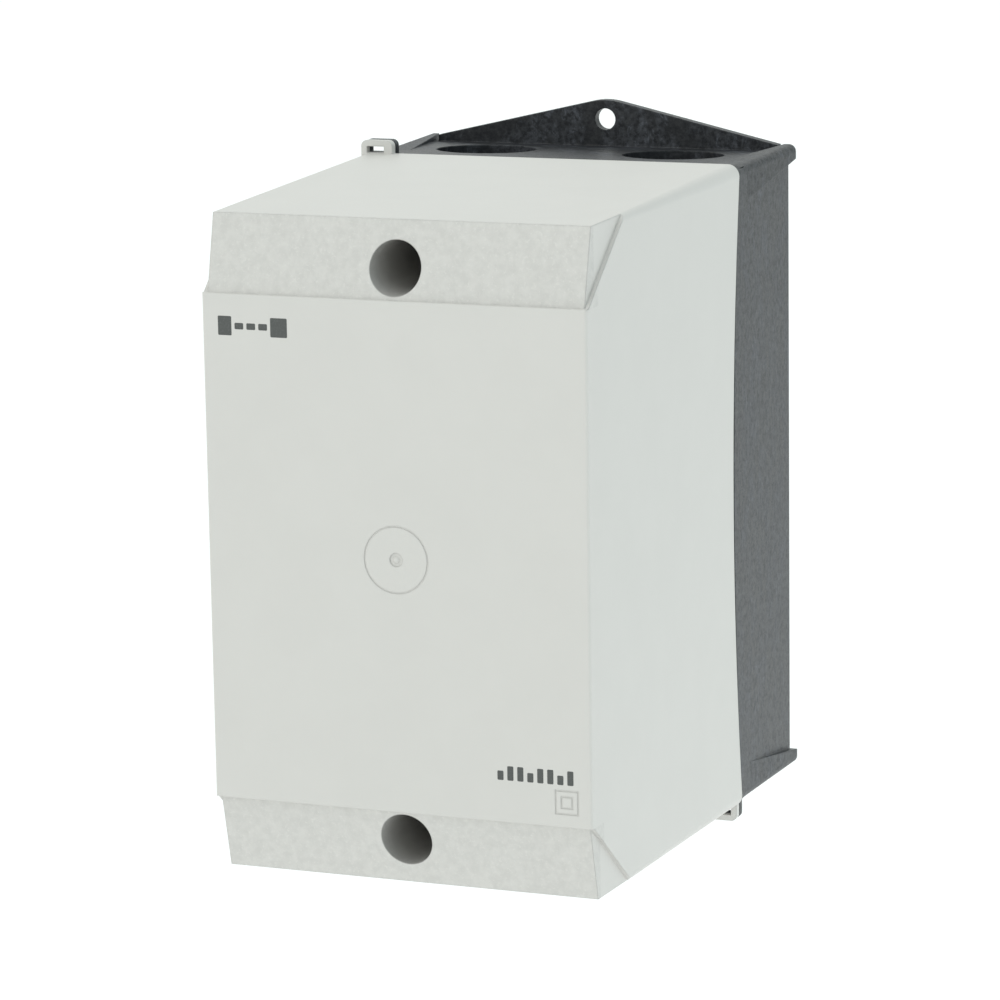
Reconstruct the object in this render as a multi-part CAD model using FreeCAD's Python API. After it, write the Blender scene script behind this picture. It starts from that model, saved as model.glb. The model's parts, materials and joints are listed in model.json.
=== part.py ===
"""Magnetic motor starter in an insulated wall enclosure.

A plastic base tray and a deep cover hold a contactor and a thermal overload relay on a mounting rail.
Lengths are in millimetres. X is to the right, Z is up, and the wall is the plane Y = 0.
"out" is the distance from the wall towards the front, which is -Y.
"""
import FreeCAD, Part
import math
import os

from FreeCAD import Vector

# ---- enclosure: driving dimensions ----
COVER_WIDTH = 100.0          # over the cover's rear rim
COVER_HEIGHT = 161.2         # over the cover's rear rim
DEPTH = 145.0                # wall to the front panel
PARTING_OUT = 44.2           # wall to the joint between base and cover, at the top and bottom edges
ARCH_RISE = 5.6              # how much further out that joint is at mid height
PARTING_GAP = 0.35
COVER_DRAFT = 0.0262         # inward lean of the cover's walls, per mm of depth
BASE_DRAFT = 0.0385          # inward lean of the base's walls towards the wall plane
BASE_STEP = 0.3              # the cover's rim stands this far proud of the base's
COVER_WALL = 2.8
BASE_WALL = 2.6
BACK_WALL = 3.0
LIP_INSET = 1.5              # the base's inner lip, measured in from the cover's outer face
LIP_WALL = 1.2
LIP_LENGTH = 3.0
GASKET_THICK = 1.5
REAR_CORNER_R = 3.2
FRONT_CORNER_R = 1.2
BASE_REAR_R = 1.0

# ---- clearances ----
FIT_GAP = 0.15               # cover over the base's lip
SCREW_CLEAR = 0.05           # radial, screw in its thread
RUN_CLEAR = 0.1              # radial, parts that slide or turn in a bore
SEAT_CLEAR = 0.1             # between parts that rest side by side
REST_GAP = 0.05              # under a spring, a ring or a tab

# ---- front of the cover ----
BAND_HEIGHT = 20.5           # main panel's edge, down from the rear rim
BAND_STEP = 1.3              # the main panel stands this far proud of the bands
BAND_DROP = 5.6              # how far back a band's outer edge lies
BAND_SIDE_INSET = 1.0
SIDE_FACET_REACH = 22.0      # how far back the side facets reach at the top and bottom
PANEL_EDGE_R = 0.6
WELL_R = 6.35
WELL_INSET = 13.4            # well's axis, down from the rear rim
WELL_WALL = 1.9
WELL_FLOOR = 3.0
WELL_FLOOR_AHEAD = 5.8       # well's floor, ahead of the joint
DISC_R = 8.0
DISC_DEPTH = 0.15
GATE_R = (0.9, 0.5)          # foot and tip of the moulding's gate mark
GATE_DIMPLE_R = 1.6
GATE_PROUD = 0.12
SYMBOL_SIDE_INSET = 8.8
SYMBOL_EDGE_INSET = 6.0
SYMBOL_SIDES = (5.8, 3.0)    # double square of a protective-insulated case
ENGRAVED_LINE = 0.35

# ---- sealing loops ----
LOOP_INSET = 1.0
LOOP_WIDTH = 8.4
LOOP_SIDE = 1.5              # bar beside the slot
LOOP_SLOT_WIDTH = 4.6
LOOP_RISE = 3.3
LOOP_SLOT_RISE = 1.6
LOOP_THICK = 2.0
LOOP_CORNER_R = 1.5

# ---- base details ----
WEDGE_SETBACK = 4.2          # wedge's front end, behind the joint
WEDGE_FRONT = (9.3, 9.9)     # width along X and height along Z at the front end
WEDGE_REAR = (3.0, 3.6)
WEDGE_EDGE_R = 1.8
LUG_INSET = 4.0
LUG_RISE = 9.9
LUG_THICK = 2.9
LUG_APEX_R = 16.0
FIXING_DROP = 4.9            # fixing hole's axis, below the lug's top
FIXING_R = 2.75
ENTRY_X = 25.0
ENTRY_OUT = 22.0
ENTRY_R = 12.75
ENTRY_DEPTH = 6.0
ENTRY_WEB = 1.2
ENTRY_COLLAR = 1.8
KNOCKOUT_R = 10.2
KNOCKOUT_GROOVE = 0.6

# ---- cover screws, M4, and their brass inserts ----
SCREW_R = 2.0
SCREW_PITCH = 0.7
THREAD_TURNS = 8             # turns that hold in the insert
SCREW_HEAD_R = 3.6
SCREW_HEAD = 2.6
SCREW_SLOT = 1.0
SCREW_HOLE_CLEAR = 0.3       # radial, screw through the cover and down the boss
WASHER_R = 5.0
WASHER = 0.8
INSERT_R = 3.0
INSERT_LENGTH = 9.0
SCREW_BOSS_R = 5.6

# ---- mounting rail ----
RAIL_END_GAP = 6.0           # rail's end, in from the cover's side
RAIL_SEAT_OUT = 9.0
RAIL_DEPTH = 7.5
RAIL_STEEL = 1.0
RAIL_HALF_HEIGHT = 17.5
RAIL_INNER_HALF = 12.5
RAIL_SCREW_BESIDE = 6.0      # rail screw's axis, beside the contactor
RAIL_SCREW_R = 1.9
RAIL_HEAD_R = 3.3
RAIL_HEAD = 2.2
RAIL_SHANK = 8.0
RAIL_BOSS_R = 5.0
RAIL_HOLE_CLEAR = 0.3
RAIL_HOLE_END = 1.5          # where the screw's hole in the base stops, from the wall
HOOK_THICK = 2.2
HOOK_PLAY = 0.2              # behind the rail's flange
HOOK_BITE = 3.4              # how far a hook reaches behind the flange
HOOK_BEYOND = 1.0
FOOT_CLEAR = 0.2             # above and below the rail's flanges
FEET_PROUD = 0.8             # feet of the rail devices, ahead of the rail's seat

# ---- earth terminal ----
EARTH_END_GAP = 6.0          # its middle, in from the rail's end
EARTH_HALF_WIDTH = 4.0
EARTH_HALF_HEIGHT = 23.0
EARTH_BODY_OUT = 36.0
EARTH_FRONT_OUT = 50.0
EARTH_TOWER_HALF = 9.0
EARTH_SCREW_Z = 15.0
EARTH_SCREW_R = 1.5
EARTH_HEAD_R = 2.5
EARTH_HEAD = 1.8
EARTH_SHANK = 3.4
EARTH_SEAT_OUT = 31.0
EARTH_BORE_OUT = 22.0
EARTH_WIRE_OUT = (23.0, 27.5)
EARTH_WIRE_HALF = 2.2
EARTH_WIRE_DEPTH = 8.0

# ---- contactor ----
CONTACTOR_Z = 22.5           # height of the rail and of the contactor's middle
CONTACTOR_HALF_WIDTH = 22.5
CONTACTOR_HALF_HEIGHT = 34.0
DEVICE_CORNER_R = 1.0
DEVICE_CHAMFER = 0.8
FRONT_HALF_HEIGHT = 27.0
SHELL_WALL = 2.5
FLOOR_WALL = 1.8
REAR_CAVITY_HALF = 26.0
HOUSING_SPLIT_OUT = 52.0
DECK_OUT = 80.0
NOSE_HALF_HEIGHT = 14.0      # the raised middle block
NOSE_CAVITY_HALF = 12.4
NOSE_WALL = 3.0
MARKER_Z = 9.2               # recessed field for the user's own marking
MARKER_HALF = (17.0, 2.4)
MARKER_DEPTH = 0.5
VENT_X = (-16.0, -12.0, -8.0, 8.0, 12.0, 16.0)
VENT_HALF = 1.0
VENT_OUT = (24.0, 40.0)
POLES = (-15.0, -5.0, 5.0, 15.0)

# magnet
CORE_HALF_WIDTH = 7.0
CORE_HALF_HEIGHT = 18.0
OUTER_LEG = 5.0
MIDDLE_LEG_HALF = 4.0
CUSHION = 1.2
CUSHION_BORDER = (2.0, 1.0)
CORE_YOKE = 6.0
CORE_LEG = 18.0
STROKE = 4.0
STROKE_GAP = 0.05
ARMATURE_LEG = 7.0
ARMATURE_YOKE = 6.0
ARMATURE_ROOM = 0.6
ARMATURE_PIN_R = 1.25
SHADING_HALF = (5.5, 1.6)
SHADING_WIRE = 0.8
SHADING_DEPTH = 1.5
BOBBIN_WALL = 1.0
BOBBIN_LENGTH = 22.0
BOBBIN_LIFT = 0.3            # above the core's yoke
BOBBIN_HALF_WIDTH = 16.0
LEG_CLEAR = 0.4
WINDING_HALF = (15.0, 11.6)
WINDING_CORNER_R = 2.5
RETURN_SPRING_X = 12.2
RETURN_SPRING_R = 2.8
RETURN_SPRING_WIRE = 0.6
RETURN_SPRING_TURNS = 6

# contacts and main terminals
CARRIER_X = 19.4
CARRIER_PLATE = 2.8
CARRIER_PLATE_HALF = 8.0
CARRIER_HALF = 3.0
CARRIER_TOP = 0.45           # over the bridge windows
CARRIER_ROOM = 1.0
INDICATOR_HALF = (3.5, 2.6)  # the peg that shows whether the contactor has pulled in
INDICATOR_BACK = 0.3
CHEEK = 1.5
CHEEK_HALF = 3.5
STRIP_OUT = 68.0
STRIP = 1.2
STRIP_HALF_WIDTH = 3.0
STRIP_INNER_Z = 6.5
STRIP_END = 4.0              # strip's end, beyond the terminal screw
TIP_R = 1.8
TIP = 0.8
TIP_Z = 8.5
BRIDGE = 1.0
BRIDGE_HALF_WIDTH = 2.6
BRIDGE_END = 2.4
BRIDGE_WINDOW = 7.2
WINDOW_SIDE = 0.5
CONTACT_SPRING_R = 1.8
CONTACT_SPRING_WIRE = 0.5
CONTACT_SPRING_TURNS = 3.5
TERMINAL_Z = 21.0
TERMINAL_SCREW_R = 1.75
TERMINAL_SHANK = 12.0
TERMINAL_HOLE_OUT = 56.0
TERMINAL_HEAD_R = 3.0
TERMINAL_HEAD = 2.4
TERMINAL_WELL_HALF = 4.0
TERMINAL_WELL_IN = 4.2       # well's inner wall, from the screw's axis
CLAMP_HALF = 3.2
CLAMP = 1.0
PIN_THICK = 1.3              # the relay's flat plug pins
PIN_HALF = 2.7
PIN_REACH = 2.8              # pin's end, beyond the terminal screw
PIN_FOOT = 5.5               # how far a pin runs down into the relay
PIN_LIFT = 0.03
COIL_TERMINAL_X = (-13.0, 13.0)
COIL_TERMINAL_RISE = 30.4
COIL_TAB = 1.0
COIL_TAB_HALF = (3.4, 3.0)
SMALL_SCREW_R = 1.5          # coil and auxiliary terminals
SMALL_HEAD_R = 2.7
SMALL_HEAD = 2.0
COIL_SHANK = 7.5
COIL_HOLE_OUT = 44.0

# rail latch
LATCH_X = 5.8
LATCH_THICK = 3.9
LATCH_PLAY = 0.4             # behind the rail's flange
LATCH_REACH = (-39.0, -14.3)
LATCH_GUIDE = (0.2, 0.1)     # clearance beside and over the latch
LATCH_WINDOW = (-29.0, -21.0)
LATCH_WINDOW_HALF = 2.3
LATCH_RIB = (-28.9, -27.5)
LATCH_RIB_HALF = 1.6
LATCH_PULL = (-37.4, -35.6)
LATCH_PULL_HALF = 3.0
LATCH_SPRING_R = 1.6
LATCH_SPRING_WIRE = 0.4
LATCH_SPRING_TURNS = 6

# ---- overload relay ----
RELAY_GAP = 0.3              # under the contactor
RELAY_HEIGHT = 45.5
RELAY_BACK_OUT = 17.0
RELAY_COVER_OUT = 72.0       # joint between housing and front cover
RELAY_FRONT_OUT = 88.0
RELAY_PLATE = 2.5            # back plate, and the wall in front of the trip chamber
RELAY_TOP_WALL = 2.2
CHAMBER_HEIGHT = 24.0
RELAY_COVER_HEIGHT = 32.2
RELAY_COVER_ROOM = 20.5      # height of the hollow behind the controls
SPIGOT = 2.0
RELAY_STRIP_OUT = 62.0
RELAY_STRIP_UP = 9.9         # strip's inner end, above the terminal screw
RELAY_STRIP_DOWN = 5.4
MOTOR_TERMINAL_DROP = 38.7   # below the relay's top
CONTROL_DROP = 11.2
AUX_DROP = 28.0
AUX_X = (-16.5, -5.5, 5.5, 16.5)
AUX_TAB_OUT = 78.0
AUX_TAB = 1.0
AUX_TAB_HALF = 3.2
AUX_WELL = (3.6, 3.9)
AUX_HEAD_R = 2.6
AUX_HEAD = 1.9
AUX_SHANK = 5.5
DIAL_X = -12.0
DIAL_R = 5.0
DIAL_PROUD = 0.9
DIAL_SEAT = 0.8
DIAL_SHAFT_R = 1.5
DIAL_CAM_R = 2.6
DIAL_CAM_OUT = (75.0, 78.0)
STOP_X = 2.0
STOP_R = 2.6
STOP_PROUD = 2.2
RESET_X = 13.0
RESET_R = 3.4
RESET_PROUD = 2.6
BUTTON_STEM_R = 1.5
BUTTON_FLANGE = 1.2
BUTTON_FLANGE_BORDER = 0.9
BUTTON_STEM_OUT = 64.5
BUTTON_EDGE_R = 0.5
BUTTON_SPRING_R = 2.6
BUTTON_SPRING_WIRE = 0.6
BUTTON_SPRING_TURNS = 5

# trip mechanism
BIMETAL_OUT = (23.5, 62.0)
BIMETAL_HALF = (0.4, 4.0)
HEATER_OUT = (30.0, 52.0)
HEATER_HALF = (1.7, 4.9)
HEATER_TURN = 1.6
HEATER_PITCH = 3.0
HEATER_TURNS = 7
HEATER_RIB = 0.4
SLIDER_OUT = 59.0
SLIDER_THICK = 1.5
SLIDER_LEFT_X = -18.0
SLIDER_HALF_HEIGHT = 7.0
SLIDER_WINDOW = (-2.6, 0.5)
SLIDER_WINDOW_HALF = 4.4
SLIDER_TO_LEVER = 1.05
LEVER_X = 13.05
LEVER_PIVOT_OUT = 46.0
LEVER_HUB_R = 2.6
LEVER_HUB_HALF = 7.0
LEVER_ARM_HALF = (0.75, 3.0)
LEVER_OUT = (36.0, 61.0)
LEVER_PIN_R = 1.2
LEVER_PIN_SEAT = 1.3
BLADE_X = (8.2, 9.5)
BLADE = 0.35
BLADE_OUT = (22.0, 42.0)
BLADE_HALF = 2.0
BLADE_FOOT = 3.0
BLADE_FOOT_BORDER = 0.3

EDGE = 0.4                   # small moulded edge break
SLOT_SHARE = 0.28            # width of a terminal screw's slot, per head radius
CROSS_SHARE = 0.6
POINTER_SHARE = 0.8
BEYOND = 1.0                 # how far a cutter runs past what it cuts
MARGIN = 5.0                 # extra stock that is trimmed off later

# ---- places that follow from those sizes ----
PANEL_HALF_HEIGHT = COVER_HEIGHT / 2 - BAND_HEIGHT
WELL_Z = COVER_HEIGHT / 2 - WELL_INSET
WELL_FLOOR_OUT = PARTING_OUT + WELL_FLOOR_AHEAD
SYMBOL_X = COVER_WIDTH / 2 - SYMBOL_SIDE_INSET
SYMBOL_Z = PANEL_HALF_HEIGHT - SYMBOL_EDGE_INSET
LOOP_LEFT = LOOP_INSET - COVER_WIDTH / 2
LOOP_X = (LOOP_LEFT, LOOP_LEFT + LOOP_WIDTH)
LOOP_SLOT_X = (LOOP_LEFT + LOOP_SIDE, LOOP_LEFT + LOOP_SIDE + LOOP_SLOT_WIDTH)
WEDGE_FRONT_OUT = PARTING_OUT - WEDGE_SETBACK
LUG_HALF_WIDTH = COVER_WIDTH / 2 - LUG_INSET
LUG_APEX_Z = COVER_HEIGHT / 2 + LUG_RISE
FIXING_Z = LUG_APEX_Z - FIXING_DROP
SCREW_TIP_OUT = PARTING_OUT - THREAD_TURNS * SCREW_PITCH
RAIL_HALF_LENGTH = COVER_WIDTH / 2 - RAIL_END_GAP
RAIL_SCREW_X = CONTACTOR_HALF_WIDTH + RAIL_SCREW_BESIDE
RAIL_FRONT_OUT = RAIL_SEAT_OUT + RAIL_DEPTH
FLANGE_BACK_OUT = RAIL_FRONT_OUT - RAIL_STEEL
FEET_OUT = RAIL_SEAT_OUT + FEET_PROUD
EARTH_X = RAIL_HALF_LENGTH - EARTH_END_GAP

DEVICE_FLOOR_OUT = RAIL_FRONT_OUT + SEAT_CLEAR + FLOOR_WALL
CORE_BACK_OUT = DEVICE_FLOOR_OUT + CUSHION
POLE_FACE_OUT = CORE_BACK_OUT + CORE_YOKE + CORE_LEG
ARMATURE_FACE_OUT = POLE_FACE_OUT + STROKE + STROKE_GAP
ARMATURE_BACK_OUT = ARMATURE_FACE_OUT + ARMATURE_LEG
ARMATURE_FRONT_OUT = ARMATURE_BACK_OUT + ARMATURE_YOKE
ARMATURE_PIN_OUT = ARMATURE_FRONT_OUT - ARMATURE_YOKE / 2
BOBBIN_OUT = CORE_BACK_OUT + CORE_YOKE + BOBBIN_LIFT
BOBBIN_END_OUT = BOBBIN_OUT + BOBBIN_LENGTH
CONTACT_OUT = STRIP_OUT + STRIP + TIP
BRIDGE_OUT = CONTACT_OUT + STROKE + STROKE_GAP + TIP
CARRIER_FRONT_OUT = BRIDGE_OUT + BRIDGE_WINDOW + CARRIER_TOP
CONTACTOR_FRONT_OUT = CARRIER_FRONT_OUT + CARRIER_ROOM + NOSE_WALL
CLAMP_OUT = STRIP_OUT + STRIP + PIN_THICK + SEAT_CLEAR
COIL_TERMINAL_Z = CONTACTOR_Z + COIL_TERMINAL_RISE
LATCH_OUT = (FLANGE_BACK_OUT - LATCH_PLAY - LATCH_THICK, FLANGE_BACK_OUT - LATCH_PLAY)

RELAY_X = CONTACTOR_HALF_WIDTH
RELAY_POLES = POLES[:3]
RELAY_TOP_Z = CONTACTOR_Z - CONTACTOR_HALF_HEIGHT - RELAY_GAP
RELAY_LOW_Z = RELAY_TOP_Z - RELAY_HEIGHT
RELAY_TERMINAL_Z = RELAY_TOP_Z - MOTOR_TERMINAL_DROP
CHAMBER_TOP_Z = RELAY_TOP_Z - RELAY_TOP_WALL
CHAMBER_LOW_Z = CHAMBER_TOP_Z - CHAMBER_HEIGHT
CHAMBER_MIDDLE_Z = CHAMBER_TOP_Z - CHAMBER_HEIGHT / 2
CHAMBER_FRONT_OUT = RELAY_COVER_OUT - RELAY_PLATE
RELAY_COVER_LOW_Z = RELAY_TOP_Z - RELAY_COVER_HEIGHT
RELAY_FRONT_INNER_OUT = RELAY_FRONT_OUT - SHELL_WALL
CONTROL_Z = RELAY_TOP_Z - CONTROL_DROP
AUX_Z = RELAY_TOP_Z - AUX_DROP
BUTTON_FLANGE_OUT = RELAY_FRONT_INNER_OUT - SEAT_CLEAR - BUTTON_FLANGE


# ---- helpers ----
def block(x_range, out_range, z_range):
    """A box given by its limits along X, out from the wall, and Z."""
    size = [abs(high - low) for low, high in (x_range, out_range, z_range)]
    return Part.makeBox(*size, Vector(min(x_range), -max(out_range), min(z_range)))


def centred_block(x, z, half_x, half_z, out_range):
    """A box about a line that runs straight out from the wall."""
    return block((x - half_x, x + half_x), out_range, (z - half_z, z + half_z))


def rod(radius, x, z, out_range):
    """A round bar that runs straight out from the wall."""
    length = out_range[1] - out_range[0]
    return Part.makeCylinder(radius, length, Vector(x, -out_range[0], z), Vector(0, -1, 0))


def ring(outer, inner, x, z, out_range):
    """A tube that runs straight out from the wall."""
    return rod(outer, x, z, out_range).cut(rod(inner, x, z, out_range))


def upright(radius, x, out, z_range):
    """A round bar along Z."""
    return Part.makeCylinder(radius, z_range[1] - z_range[0], Vector(x, -out, z_range[0]))


def crossbar(radius, out, z, x_range):
    """A round bar along X."""
    start = Vector(x_range[0], -out, z)
    return Part.makeCylinder(radius, x_range[1] - x_range[0], start, Vector(1, 0, 0))


def fuse_all(shapes):
    """One solid from touching or overlapping shapes, with every seam kept."""
    result = shapes[0]
    for shape in shapes[1:]:
        result = result.fuse(shape)
    return result


def join(shapes):
    """One solid from touching or overlapping shapes, with faces merged across the seams."""
    return fuse_all(shapes).removeSplitter()


def cut_all(shape, tools):
    for tool in tools:
        shape = shape.cut(tool)
    return shape


def past(span):
    """A span made longer at both ends, for a cutter that runs right through."""
    return (span[0] - BEYOND, span[1] + BEYOND)


def edges_at(shape, out):
    """The edges that lie in the plane at out."""
    return [edge for edge in shape.Edges if abs(edge.CenterOfMass.y + out) < 0.01]


def depth_edges(shape):
    """The straight edges that run from back to front."""
    found = []
    for edge in shape.Edges:
        start, end = edge.Vertexes[0].Point, edge.Vertexes[-1].Point
        if abs(start.y - end.y) > 10 * math.hypot(start.x - end.x, start.z - end.z):
            found.append(edge)
    return found


def flipped_z(shape):
    return shape.mirror(Vector(0, 0, 0), Vector(0, 0, 1))


def turned_half(shape):
    """The same shape on the opposite side of the front-to-back axis."""
    copy = shape.copy()
    copy.rotate(Vector(0, 0, 0), Vector(0, 1, 0), 180)
    return copy


def about(z_centre, low, high):
    """The limits low..high, shifted to be about z_centre."""
    return (z_centre + low, z_centre + high)


def spring(radius, wire, turns, base, axis, length):
    """A closed-end helical spring from base along axis."""
    pitch = (length - wire) / turns
    helix = Part.makeHelix(pitch, length - wire, radius - wire / 2)
    start = Vector(radius - wire / 2, 0, 0)
    profile = Part.Wire(Part.makeCircle(wire / 2, start, Vector(0, 1, 0)))
    coil = Part.Wire(helix).makePipeShell([profile], True, True)
    coil.translate(Vector(0, 0, wire / 2))
    coil.Placement = FreeCAD.Placement(base, FreeCAD.Rotation(Vector(0, 0, 1), axis)).multiply(coil.Placement)
    return coil


def outward_spring(radius, wire, turns, x, z, low, length):
    """A spring that runs straight out from the wall, starting at low."""
    return spring(radius, wire, turns, Vector(x, -low, z), Vector(0, -1, 0), length)


# ---- enclosure outlines ----
def drafted_box(half_width, half_height, draft, reference_out, out_range):
    """A box whose four walls lean in with the distance from reference_out, away from it."""
    def half_at(half, out):
        return half - draft * (out - reference_out)

    low, high = out_range
    side = []
    plan = []
    for sign, out in ((1, low), (1, high), (-1, high), (-1, low)):
        side.append(Vector(-COVER_WIDTH, -out, sign * half_at(half_height, out)))
        plan.append(Vector(sign * half_at(half_width, out), -out, -COVER_HEIGHT))
    side_prism = Part.Face(Part.makePolygon(side + side[:1])).extrude(Vector(2 * COVER_WIDTH, 0, 0))
    plan_prism = Part.Face(Part.makePolygon(plan + plan[:1])).extrude(Vector(0, 0, 2 * COVER_HEIGHT))
    return side_prism.common(plan_prism)


def cover_box(inset, out_range):
    half_width = COVER_WIDTH / 2 - inset
    half_height = COVER_HEIGHT / 2 - inset
    return drafted_box(half_width, half_height, COVER_DRAFT, PARTING_OUT, out_range)


def base_box(inset, out_range):
    half_width = COVER_WIDTH / 2 - BASE_STEP - inset
    half_height = COVER_HEIGHT / 2 - BASE_STEP - inset
    return drafted_box(half_width, half_height, -BASE_DRAFT, PARTING_OUT, out_range)


def arch(offset):
    """Everything behind the arched joint, moved out by offset."""
    half = COVER_HEIGHT / 2
    radius = (half ** 2 + ARCH_RISE ** 2) / (2 * ARCH_RISE)
    centre_out = PARTING_OUT + ARCH_RISE - radius
    return crossbar(radius + offset, centre_out, 0, (-COVER_WIDTH, COVER_WIDTH))


def rounded_by(box, rear_radius, front_radius):
    """Round a drafted box's long edges, more at one end than at the other."""
    for edge in depth_edges(box):
        at_rear = edge.Vertexes[0].Point.y > edge.Vertexes[-1].Point.y
        first, last = (rear_radius, front_radius) if at_rear else (front_radius, rear_radius)
        match = min(depth_edges(box), key=lambda e: e.CenterOfMass.distanceToPoint(edge.CenterOfMass))
        box = box.makeFillet(first, last, [match])
    return box


# ---- enclosure parts ----
def sealing_loop(out_range):
    """The loop at the upper left corner that takes a sealing wire."""
    foot_z = COVER_HEIGHT / 2 - COVER_WALL / 2
    top_z = COVER_HEIGHT / 2 + LOOP_RISE
    slot_low = COVER_HEIGHT / 2 + EDGE / 2
    loop = block(LOOP_X, out_range, (foot_z, top_z))
    corners = [e for e in loop.Edges if abs(e.CenterOfMass.z - top_z) < 0.01 and e.Length < 2 * LOOP_THICK]
    loop = loop.makeFillet(LOOP_CORNER_R, corners)
    return loop.cut(block(LOOP_SLOT_X, out_range, (slot_low, slot_low + LOOP_SLOT_RISE)))


def front_prism(outline):
    """A prism right across the cover from an outline of (out, z) points."""
    points = [Vector(-COVER_WIDTH, -out, z) for out, z in outline]
    return Part.Face(Part.makePolygon(points + points[:1])).extrude(Vector(2 * COVER_WIDTH, 0, 0))


def sloping_cut(reach):
    """What lies ahead of a plane that runs back from the panel's edge, by reach at the cover's outer edge."""
    start_out = DEPTH - BAND_STEP
    edge_z = COVER_HEIGHT / 2 - COVER_DRAFT * (DEPTH - PARTING_OUT)
    beyond_z = COVER_HEIGHT / 2 + MARGIN
    end_out = start_out - reach * (beyond_z - PANEL_HALF_HEIGHT) / (edge_z - PANEL_HALF_HEIGHT)
    front = DEPTH + MARGIN
    low_z = PANEL_HALF_HEIGHT
    return front_prism([(front, low_z), (start_out, low_z), (end_out, beyond_z), (front, beyond_z)])


def band_cutter():
    """What is cut away above the main panel: a sloping band and its side facets."""
    half_width = COVER_WIDTH / 2 - BAND_SIDE_INSET
    kept = drafted_box(half_width, COVER_HEIGHT, COVER_DRAFT, PARTING_OUT, (PARTING_OUT, DEPTH + 2 * MARGIN))
    return sloping_cut(BAND_DROP - BAND_STEP).fuse(sloping_cut(SIDE_FACET_REACH).cut(kept))


def panel_edges(shell):
    """The four edges of the main panel."""
    found = []
    for edge in shell.Edges:
        depths = [vertex.Point.y for vertex in edge.Vertexes]
        if max(abs(depth + DEPTH) for depth in depths) < 0.01:
            found.append(edge)
    return found


def screw_well(z):
    """The deep tube that leads to one cover screw."""
    return rod(WELL_R + WELL_WALL, 0, z, (WELL_FLOOR_OUT - WELL_FLOOR, DEPTH - BAND_DROP))


def insulation_symbol():
    """Cutters for the engraved double square."""
    lines = []
    span = (DEPTH - DISC_DEPTH, DEPTH + BEYOND)
    for side in SYMBOL_SIDES:
        outer = centred_block(SYMBOL_X, -SYMBOL_Z, side / 2, side / 2, span)
        inner_half = side / 2 - ENGRAVED_LINE
        lines.append(outer.cut(centred_block(SYMBOL_X, -SYMBOL_Z, inner_half, inner_half, past(span))))
    return lines


def front_cover():
    shoulder = LIP_LENGTH + GASKET_THICK
    shell = rounded_by(cover_box(0, (PARTING_OUT - 2 * MARGIN, DEPTH)), REAR_CORNER_R, FRONT_CORNER_R)
    bands = band_cutter()
    shell = cut_all(shell, [bands, flipped_z(bands)])
    shell = shell.makeFillet(PANEL_EDGE_R, panel_edges(shell))
    cavity = cover_box(COVER_WALL, (PARTING_OUT - 2 * MARGIN, DEPTH - BAND_DROP - COVER_WALL))
    panel_height = PANEL_HALF_HEIGHT - COVER_WALL
    panel_width = COVER_WIDTH / 2 - COVER_DRAFT * (DEPTH - PARTING_OUT) - COVER_WALL - BAND_SIDE_INSET
    panel_pocket = centred_block(0, 0, panel_width, panel_height, (DEPTH / 2, DEPTH - COVER_WALL))
    shell = cut_all(shell, [cavity, panel_pocket])
    rebate = cover_box(LIP_INSET - FIT_GAP, (PARTING_OUT - 2 * MARGIN, DEPTH))
    rebate = rounded_by(rebate, REAR_CORNER_R, REAR_CORNER_R)
    rebate = rebate.common(arch(shoulder))
    shell = cut_all(shell, [rebate, arch(PARTING_GAP)])
    wells = [screw_well(WELL_Z), screw_well(-WELL_Z)]
    loops = [sealing_loop((PARTING_OUT + PARTING_GAP, PARTING_OUT + PARTING_GAP + LOOP_THICK))]
    loops.append(turned_half(loops[0]))
    shell = fuse_all([shell] + wells + loops)
    for z in (WELL_Z, -WELL_Z):
        shell = shell.cut(rod(WELL_R, 0, z, (WELL_FLOOR_OUT, DEPTH + BEYOND)))
        floor_span = past((WELL_FLOOR_OUT - WELL_FLOOR, WELL_FLOOR_OUT))
        shell = shell.cut(rod(SCREW_R + SCREW_HOLE_CLEAR, 0, z, floor_span))
    dimple_out = DEPTH - 2 * DISC_DEPTH
    disc = ring(DISC_R, DISC_R - ENGRAVED_LINE, 0, 0, (DEPTH - DISC_DEPTH, DEPTH + BEYOND))
    dimple = rod(GATE_DIMPLE_R, 0, 0, (dimple_out, DEPTH + BEYOND))
    shell = cut_all(shell, insulation_symbol() + [disc, dimple])
    gate_height = DEPTH + GATE_PROUD - dimple_out
    gate_mark = Part.makeCone(*GATE_R, gate_height, Vector(0, -dimple_out, 0), Vector(0, -1, 0))
    return fuse_all([shell, gate_mark])


def cover_gasket():
    """A soft ring between the base's lip and the cover's shoulder."""
    span = (PARTING_OUT - MARGIN, DEPTH)
    outer = rounded_by(cover_box(LIP_INSET - FIT_GAP, span), REAR_CORNER_R, REAR_CORNER_R)
    band = outer.cut(cover_box(COVER_WALL, span))
    return band.common(arch(LIP_LENGTH + GASKET_THICK)).cut(arch(LIP_LENGTH + REST_GAP))


def corner_wedge():
    """The tapered corner piece of the base at +X, +Z."""
    outer_x = COVER_WIDTH / 2
    outer_z = COVER_HEIGHT / 2 - BASE_STEP

    def outline(out, width, height, inset):
        left, right = outer_x - width, outer_x - inset
        low, high = outer_z - height, outer_z - inset
        corners = [(left, low), (right, low), (right, high), (left, high)]
        points = [Vector(x, -out, z) for x, z in corners]
        return Part.makePolygon(points + points[:1])

    front = outline(WEDGE_FRONT_OUT, *WEDGE_FRONT, 2 * BASE_STEP)
    rear = outline(0, *WEDGE_REAR, 0)
    wedge = Part.makeLoft([front, rear], True, True)
    near_corner = outer_x + outer_z - WEDGE_REAR[0]
    outer_edge = [e for e in depth_edges(wedge) if e.CenterOfMass.x + e.CenterOfMass.z > near_corner]
    return wedge.makeFillet(WEDGE_EDGE_R, outer_edge)


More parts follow.
